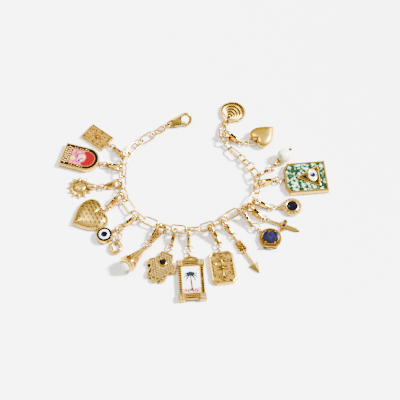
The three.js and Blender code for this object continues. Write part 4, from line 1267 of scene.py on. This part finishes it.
def arrow():
    """An arrow with ridged feathers, a ringed shaft and a barbed, ridged head."""
    d = ARROW
    x0 = CHARM_START
    x1 = x0 + d.length
    half = d.feather_width / 2
    thin = d.shaft / 2
    back = x0 + d.feather
    fletch = mirrored((x0, -half * 0.55), (x0 + d.feather * 0.75, -half * 0.55 - thin), (back, -thin))
    shapes = [slab(fletch, 0.2, d.thick - 0.8, 0.2)]
    shapes += rosette(x0 + d.feather * 0.62, 0, d.thick - 0.6, 1.7, 0.6)
    for way in (-1, 1):
        ribs = [(x0 + 1.1 + i * d.feather * 0.17, way * (half * 0.46 + 0.1 * i), way * 128) for i in range(5)]
        shapes += leaves((2.6, 1.15, 0.8), d.thick - 0.95, ribs)
    start = x0 + d.feather * 0.4
    long = x1 - d.head_length * 0.6 - start
    rows = [(d.shaft * 0.35, 0), (thin, 0.4), (thin, long - 0.4), (d.shaft * 0.4, long)]
    shapes.append(turned(rows, 16, move(start, 0, thin + 0.1) @ turn(90, "Y")))
    for i in range(4):
        place = move(back + 0.3 + i * 0.7, 0, thin + 0.1) @ turn(90, "Y")
        shapes.append(ring(thin - 0.125, 0.45, place, 6, 16))
    notch = x1 - d.head_length * 0.7
    low = mirrored((notch, 0), (x1 - d.head_length, -d.head / 2), (x1, 0))
    ridge = mirrored((notch + 0.1, 0), (notch - 0.4, -0.12), (x1 - 1.2, 0))
    shapes.append(loft([level(low, 0.1), level(low, d.thick * 0.35), level(ridge, d.thick)]))
    return {"cast": shapes}


DROP = Named(radius=6, thick=3, gem=8.8, gem_width=7.8, gem_height=3, step=1.6, stand_turn=-52)


def cut_gem(radius, low, high):
    """A gem with turned rings of facets, its quads cut in two so that each facet is flat."""
    count = 16
    rows = [(0.7, low, 0), (1, low + 1.3, 0.5), (1, low + 1.6, 0.5)]
    rows += [(0.86, high - 0.75, 0), (0.52, high, 0.5)]
    rings = []
    for share, z, shift in rows:
        rings.append([turn(shift * 360 / count) @ Vector(p) for p in circle(radius * share, z, count)])
    points, faces = loft(rings)
    facets = []
    for face in faces:
        facets += [face] if len(face) > 4 else [face[:3], (face[0], *face[2:])]
    return points, facets


def drop():
    """A round frame with a faceted gem over a dark stepped stand."""
    d = DROP
    centre = CHARM_START + d.radius - 0.2
    base = d.thick - d.step
    low = base - 0.1
    girdle = d.gem / 2
    side = d.gem_width / 2
    rows = [(d.radius * 0.9, 0), (d.radius, base * 0.8)]
    rows += profile(base, (d.radius, 0.4), (d.radius - 0.2, 0.6), (d.radius - 0.8, 0.6))
    rows += profile(base, (d.radius - 1, 0.4), (d.radius - 1, -0.4))
    upright = move(centre) @ turn(d.stand_turn)
    oval = upright @ Matrix.Diagonal((d.gem_width / d.gem, 1, 1, 1))
    seat = profile(low, (girdle + 0.1, 0), (girdle + 0.25, 1.4), (girdle - 0.1, 1.8), (girdle - 0.4, 1.6))
    claws = [((side - 0.1) * cos(radians(a)), (girdle - 0.2) * sin(radians(a))) for a in (35, 145, 215, 325)]
    wide = d.gem_width * 0.46
    shelf = mirrored((side, -wide * 0.8), (side + d.step, -wide))
    shapes = [turned(rows, 48, move(centre)), turned(seat, 40, oval)]
    shapes += [shaped(ball(0.5, x, y, low + 1.9, 1, 8), upright) for x, y in claws]
    shapes.append(shaped(hoop(cornered(shelf), d.thick - 0.1, 0.22), upright))
    stone_shape = shaped(cut_gem(girdle, low, low + d.gem_height), oval)
    stand = shaped(slab(shelf, SOLDER, d.thick - 0.1, 0.1), upright)
    return {"polished": shapes, "gem": [stone_shape], "bronze": [stand]}


DAGGER = Named(length=16.4, handle=1.9, grip=6, guard=7.6, guard_length=2.6, blade=3.2, thick=2)


def dagger():
    """A dagger with a ringed grip, dark red stones on its guard and a ridged blade."""
    d = DAGGER
    lie = move(CHARM_START - 0.3, 0, d.handle / 2 + 0.1) @ turn(90, "Y")
    rows = [(d.handle * 0.3, 0)]
    for i in range(7):
        rows.append((d.handle * (0.34 + 0.1 * (i % 2) + 0.1 * i / 6), 0.3 + i * (d.grip - 0.2) / 6))
    rows.append((d.handle * 0.5, d.grip + 0.6))
    g0 = CHARM_START + d.grip
    g1 = g0 + d.guard_length
    middle = (g0 + g1) / 2
    wide = d.guard / 2
    blade = d.blade / 2
    start = g1 - 1
    tip = CHARM_START + d.length
    cross = mirrored((g0, 0.6 - wide), (middle, -wide), (g1, 0.9 - wide))
    edge = mirrored((start, -blade), (tip - 2.3, -blade * 0.8), (tip, 0))
    ridge = mirrored((start, -0.1), (tip - 2.6, -0.08), (tip - 1.4, 0))
    shapes = [
        turned(rows, 20, lie),
        slab(cross, 0, d.thick - 0.3, 0.3),
        hoop(cornered(inset(cross, 0.35)), d.thick - 0.35, 0.28),
        loft([level(edge, 0.2, 0.1), level(edge, 0.5), level(ridge, d.thick * 0.75)]),
    ]
    rubies = [stone(0.85, middle, 0, d.thick - 0.25, 0.4, 10)]
    rubies += [stone(0.6, middle, y, d.thick - 0.25, 0.35) for y in (-2.2, 2.2)]
    return {"polished": shapes, "ruby": rubies}


MEDALLION = Named(radius=5.2, thick=2.2, stone=2.8, neck=2.2, neck_width=3.4)


def medallion():
    """A disc with a ring of small stones round a dark one, and a pointed neck."""
    d = MEDALLION
    radius, thick, dark = d.radius, d.thick, d.stone
    centre = CHARM_START + d.neck + radius
    bore = dark + 0.1
    rows = [(radius * 0.92, 0), (radius, thick * 0.4), (radius * 0.96, thick * 0.85)]
    rows += [(radius * 0.9, thick * 0.92), (bore + 0.7, thick * 0.8)]
    rows += [(bore + 0.6, thick + 0.3), (bore + 0.3, thick + 0.45)]
    rows += [(bore, thick + 0.3), (bore, thick * 0.5)]
    throat = mirrored((CHARM_START - 0.2, -0.7), (centre - radius * 0.85, -d.neck_width / 2))
    shapes = [turned(rows, 48, move(centre)), slab(throat, 0.3, thick - 0.3, 0.25)]
    shapes += beads(arc(centre, 0, radius * 0.93, 0, 350, 40), 0.36, thick * 0.88, 0.95)
    spots = around(15, (bore + 0.7 + radius * 0.9) / 2, centre)
    crystals = [stone(0.72, x, y, thick * 0.85, 0.4) for x, y, _ in spots]
    for x, y in ((0.6, 0), (1.7, -0.6), (1.7, 0.6)):
        crystals.append(stone(0.42, CHARM_START + x, y, thick - 0.2, 0.25))
    top = profile(thick, (dark, -0.4 * thick), (dark, 0.45), (dark * 0.8, 0.85), (dark * 0.55, 1.05))
    return {"cast": shapes, "crystal": crystals, "navy": [turned(top, 14, move(centre))]}


TAG = Named(length=22.8, width=18.6, clip=4.2, thick=3, rim=1.1, sunk=1.2, triangle=12.8, spread=6.9, eye=8)


def tag_outline(amount):
    x0 = CHARM_START + amount
    x1 = CHARM_START + TAG.length - amount
    h = TAG.width / 2 - amount
    clip = TAG.clip - 0.5 * amount
    return mirrored((x0, clip - h), (x0 + clip * 0.55, -h), (x1, -h))


def tag_triangle(amount):
    middle = CHARM_START + TAG.length / 2 + 1.2
    near = middle - TAG.triangle / 2 + 2 * amount
    return mirrored((near, 0), (middle + TAG.triangle / 2 - amount, 1.6 * amount - TAG.spread))


def lens(cx, cy, length, width, pinch=1.0):
    """A marquise whose points lie along Y, as a right and a left half of ten points each."""
    halves = []
    for bulge in (width * 0.45, -width * 0.45):
        way = length / 2 if bulge > 0 else -length / 2
        half = bezier((cx, -way), (cx + bulge, -way / 3), (cx + bulge, way / 3), (cx, way), 10)
        halves.append([Vector((p.x, p.y * pinch + cy)) for p in half])
    return halves


def tag():
    """A green marbled tag with a gold triangle and an enamel eye, with a painted highlight on its pupil."""
    d = TAG
    thick = d.thick
    floor = thick - d.sunk
    centre = CHARM_START + d.length * 0.67
    lift = 0.8
    polished = [
        tray(tag_outline(0), d.rim, floor, thick, 0.25),
        hoop(cornered(tag_triangle(0.35), 8), thick, 0.42, 8),
        hoop(cornered(tag_triangle(1.35), 8), thick, 0.2),
        hoop(sum(lens(centre, lift, d.eye * 1.05, 6.4), []), thick + 0.05, 0.3, 8),
    ]
    for k in (1, 2):
        lid = lens(centre - 0.75 * k, lift, d.eye, 6.2, 1 - 0.16 * k)[1]
        polished.append(tube(level(lid, thick + 0.02), 0.2))
    black = [
        slab(tag_triangle(-0.35), floor, thick - 0.2, 0.03),
        slab(tag_triangle(0.2), floor, thick - 0.1, 0.05),
        slab(arc(centre, lift, 0.8, 0, 340, 18), thick, thick + 0.32, 0.06),
    ]
    white = sum(lens(centre, lift, d.eye * 0.98, 5.8), [])
    return {
        "polished": polished,
        "green": [slab(tag_outline(d.rim + 0.2), floor + 0.1, thick - 0.25, 0.06)],
        "black": black,
        "white": [slab(white, floor, thick + 0.12, 0.08)],
        "blue": [slab(arc(centre, lift, 1.5, 0, 345, 24), thick, thick + 0.24, 0.06)],
        # A pale dot on the pupil is a painted highlight
        "sky": [ball(0.26, centre - 0.45, lift + 0.5, thick + 0.32, 0.4, 8)],
    }


PEARL = Named(radius=4, cap=2.2, cap_height=2.2, ball=0.9)


def pearl():
    """A slightly uneven pearl on a pin, with a fluted cap and an end ball."""
    radius, cap, end = PEARL.radius, PEARL.cap, PEARL.ball
    tip = EYELET_R + PEARL.cap_height
    centre = tip + radius * 0.9
    rise = degrees(asin((radius - EYE_R) / centre))
    lie = move(0, 0, EYE_R) @ turn(90 - rise, "Y")
    rows = profile(EYELET_R, (0.5, -0.2), (0.8, 0), (cap * 0.55, 0.5))
    rows += profile(tip, (cap * 0.88, -0.9), (cap, -0.2), (cap * 0.95, 0), (cap * 0.6, -0.2))
    far = centre + radius
    pin = profile(far, (end * 0.4, -radius * 0.1), (end * 0.5, 0), (end, 0.5), (end, 1.1), (end * 0.5, 1.6))
    bead = []
    for i in range(1, 24):
        a = pi * i / 24
        bead.append((radius * 0.955 * sin(a) * (1 - 0.03 * cos(3 * a)), centre - radius * 0.97 * cos(a)))
    return {
        "polished": [turned(rows, 40, lie, 10, 0.04)],
        "pearl": [turned(bead, 40, lie, 3, 0.015)],
        "bronze": [turned(pin, 16, lie)],
    }


PUFF = Named(length=14.6, width=13, thick=5, link_turn=18, heart_turn=50)


def puff():
    """A puffed plain heart on a short link."""
    d = PUFF
    near = EYELET_R - (EYELET_WIRE + CHAIN_WIRE) / 2 + SOLDER
    short, narrow = LINK_SIZES["s"]
    aside = turn(d.link_turn)
    one = link(short, narrow, CHAIN_WIRE, aside @ move(near + (short - CHAIN_WIRE) / 2, 0, EYE_R))
    bevel = d.thick * 0.34
    flat_length = d.length - 2 * bevel
    far = near + short - CHAIN_WIRE + bevel - 0.1 * flat_length
    place = aside @ move(far) @ turn(d.heart_turn - d.link_turn)
    outline = heart_outline(-bevel * 0.9, d.length - bevel * 0.15, d.width, 16)
    centre = Vector((flat_length * 0.36, 0))
    steps = 18
    rings = []
    for i in range(steps + 1):
        a = pi * (i / steps - 0.5)
        share = max(0.02, abs(cos(a)) ** 0.55)
        rings.append(level(grown(outline, share, centre), d.thick / 2 * (1 + sin(a))))
    return {"polished": [one], "satin": [shaped(loft(rings), place)]}


TEARDROP = Named(length=8.4, width=7.2, wire=2.1)


def teardrop():
    """A ring on edge, a short link and a pear-shaped ring."""
    length, width, wire = TEARDROP.length, TEARDROP.width, TEARDROP.wire
    height = RING_R + RING_WIRE / 2
    hold = RING_R + TEAR_REACH
    short, narrow = LINK_SIZES["s"]
    x = hold + RING_R + short / 2 - CHAIN_WIRE - SOLDER
    shapes = [ring(RING_R, RING_WIRE, move(hold, 0, height) @ turn(90, "X"))]
    shapes.append(link(short, narrow, CHAIN_WIRE, move(x, 0, height - 0.6)))
    x += short / 2 + length / 2 - CHAIN_WIRE
    path = []
    for i in range(36):
        a = 2 * pi * i / 36
        taper = 1 - 0.28 * max(0, -cos(a)) ** 2
        path.append((x + (length - wire) / 2 * cos(a), (width - wire) / 2 * sin(a) * taper, wire / 2))
    shapes += [tube(path, wire / 2, True, 12), ball(0.8, x - length / 2 + 0.9, 0, wire * 0.6, 1, 10)]
    return {"polished": shapes}


SHELL = Named(length=13.8, width=14.6, thick=3.4, loop=1.5)


def shell():
    """A scallop with curved ridges over dark grooves, and a fringe of ribs."""
    d = SHELL
    x0 = d.loop + SOLDER
    half = d.width / 2
    hinge = Vector((x0 + 0.4, 0))
    rim = [Vector(spot[:2]) for spot in around(72, half * 0.93, x0 + d.length - half)]

    def height(t):
        return 0.7 + (d.thick * 0.6 - 0.7) * sqrt(max(0.0, 1 - t**2.2))

    base = [level(grown(rim, 0.96, hinge), 0), level(rim, 0.25), level(rim, 0.7)]
    shares = [1 - i / 12 for i in range(13)]
    dome = [level(grown(rim, 0.05 + 0.92 * t, hinge), height(t)) for t in shares]
    shapes = [loft(base), eyelet(d.loop + EYELET_WIRE / 2, d.loop)]
    for share, wire in ((0.76, 0.62), (0.6, 0.58), (0.45, 0.52), (0.31, 0.45), (0.18, 0.4)):
        shapes.append(hoop(grown(rim, share, hinge), height((share - 0.05) / 0.92), wire, 8))
    for p in spaced(grown(rim, 0.93, hinge), 1.35):
        if p.x > hinge.x + 2.4:
            shapes.append(leaf(2.6, 1.25, 1.1, p.x, p.y, 0.75, degrees(atan2(p.y, p.x - hinge.x))))
    shapes += leaves((2.8, 1.7, 1.2), 0.6, [(hinge.x, -1.2, 90), (hinge.x, 1.2, 90)])
    return {"cast": shapes, "bronze": [loft(dome)]}


MAKERS = {
    "plaque": plaque, "arch": arch, "sun": sun, "heart": heart, "evil_eye": evil_eye, "trumpet": trumpet,
    "hamsa": hamsa, "palm": palm, "octagon": octagon, "arrow": arrow, "drop": drop, "dagger": dagger,
    "medallion": medallion, "tag": tag, "pearl": pearl, "puff": puff,
}
# The inlay node of a charm, and the look that stands for it
INLAYS = {
    "arch": ("arch_enamel", "black"),
    "evil_eye": ("evil_eye_glass", "black"),
    "palm": ("palm_picture", "white"),
    "drop": ("drop_gem", "gem"),
    "medallion": ("medallion_stone", "navy"),
    "tag": ("tag_inlay", "green"),
    "pearl": ("pearl_bead", "pearl"),
}
FACETED = ("crystal", "gem", "navy", "ruby")


def add_charm(name, made, matrix, rings=()):
    """A charm's pieces, one for each look; its first gold one has the rings and stands for its node."""
    inlay, inlay_look = INLAYS.get(name, (None, None))
    main = next(look for look in made if look in ("polished", "cast"))
    made[main] += rings
    for look, shapes in made.items():
        stands_for = [f"{name}_charm"] if look == main else [inlay] if look == inlay_look else []
        sharp = FACET_CREASE if look in FACETED else CHARM_CREASE
        piece(f"{name}_{look}", shapes, matrix, look, replaces=stands_for, sharp=sharp)


def add_chain(links, shift):
    fuller = PLATED_WIRE - CHAIN_WIRE
    wires = []
    for one in links:
        wires.append(link(one.length + fuller, one.width + fuller, PLATED_WIRE, link_frame(one), 10, 36))
    piece("chain_links", wires, shift, "polished", replaces=["chain"])


def add_clasps(frames, shift):
    body = clasp_shapes()
    lever = lever_shapes()
    for name, place in frames.items():
        piece(f"{name}_clasp_body", body, shift @ place, "polished", replaces=[f"{name}_clasp"])
        piece(f"{name}_lever_gate", lever, shift @ place, "polished", f"{name}_lever", [f"{name}_lever"])


def add_charms(frames, shift):
    for name, maker in MAKERS.items():
        _, _, _, heading, _, _, radius = HANGERS[name]
        eye = frames[name] @ EYE
        place = shift @ move(eye.x, eye.y) @ turn(heading) @ move(ring_reach(radius))
        add_charm(name, maker(), place, loops(eye.z, radius))
        if name == "evil_eye":
            middle = polar(RING_R, heading, eye.x, eye.y)
            add_charm("teardrop", teardrop(), shift @ move(*middle) @ turn(TEAR_TURN))


def build_bracelet(frame):
    """Every piece of the bracelet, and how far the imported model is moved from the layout."""
    links = chain_links()
    frames = clasp_frames(links)

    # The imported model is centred, so the layout moves by what its first lever's hinge says
    joint = frame["joints"][0]
    pivot = frames[joint["child"].removesuffix("_lever")] @ PIVOT
    shift = Matrix.Translation(Vector(joint["pos_m"]) / MM - pivot)
    add_chain(links, shift)
    add_clasps(frames, shift)
    add_charms(frames, shift)
    end = link_end(links[-1], 1)
    add_charm("shell", shell(), shift @ move(end.x, end.y) @ turn(SHELL_TURN))
    return shift


# Surroundings, in metres

LIGHT_DISTANCE = 0.8


def add_floor():
    half = 4.0
    stops = [(0.3, (0.86, 0.86, 0.875)), (0.7, (0.88, 0.88, 0.89))]
    mesh = bpy.data.meshes.new("surface")
    mesh.from_pydata(level(rectangle(-half, half, half), 0), [], [(0, 1, 2, 3)])
    mesh.materials.append(clouded("pale_surface", stops, 3, scale=1, Roughness=0.55)[0])
    add_object("surface", mesh)


def add_world():
    """A pale room, darker low down, so that gold has something to mirror."""
    world = bpy.data.worlds.new("studio")
    bpy.context.scene.world = world
    world.use_nodes = True
    tree = world.node_tree
    split = add_node(tree, "SeparateXYZ", Vector=add_node(tree, "TexCoord").outputs["Generated"])
    stops = [(0.0, (0.17, 0.16, 0.15)), (0.25, (0.27, 0.26, 0.25))]
    stops += [(0.6, (0.95, 0.95, 0.95)), (1.0, (1.3, 1.3, 1.3))]
    fill(tree, tree.nodes["Background"], Color=ramp(tree, split.outputs["Z"], stops), Strength=1.0)


def face_towards(made, towards):
    made.rotation_euler = towards.to_track_quat("Z", "Y").to_euler()


def add_light(name, kind, energy, azimuth, elevation, **settings):
    """A light that shines from a direction in degrees."""
    light = bpy.data.lights.new(name, kind)
    light.energy = energy
    for key, value in settings.items():
        setattr(light, key, value)
    made = add_object(name, light)
    flat = polar(cos(radians(elevation)), azimuth)
    towards = Vector((flat.x, flat.y, sin(radians(elevation))))
    made.location = towards * LIGHT_DISTANCE
    face_towards(made, towards)


def add_camera(shift):
    camera = bpy.data.cameras.new("camera")
    camera.lens = CAMERA_LENS
    made = add_object("camera", camera)
    lift = radians(CAMERA_ELEVATION)
    towards = Vector((0, -cos(lift), sin(lift)))
    made.location = (shift.translation + towards * CAMERA_DISTANCE) * MM
    face_towards(made, towards)
    bpy.context.scene.camera = made


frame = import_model()
LOOKS = make_looks()
shift = build_bracelet(frame)
add_floor()
add_world()
add_light("key", "SUN", 29.0, 12, 42, angle=radians(11))
add_light("fill", "AREA", 6.0, 150, 60, size=0.3)
add_camera(shift)
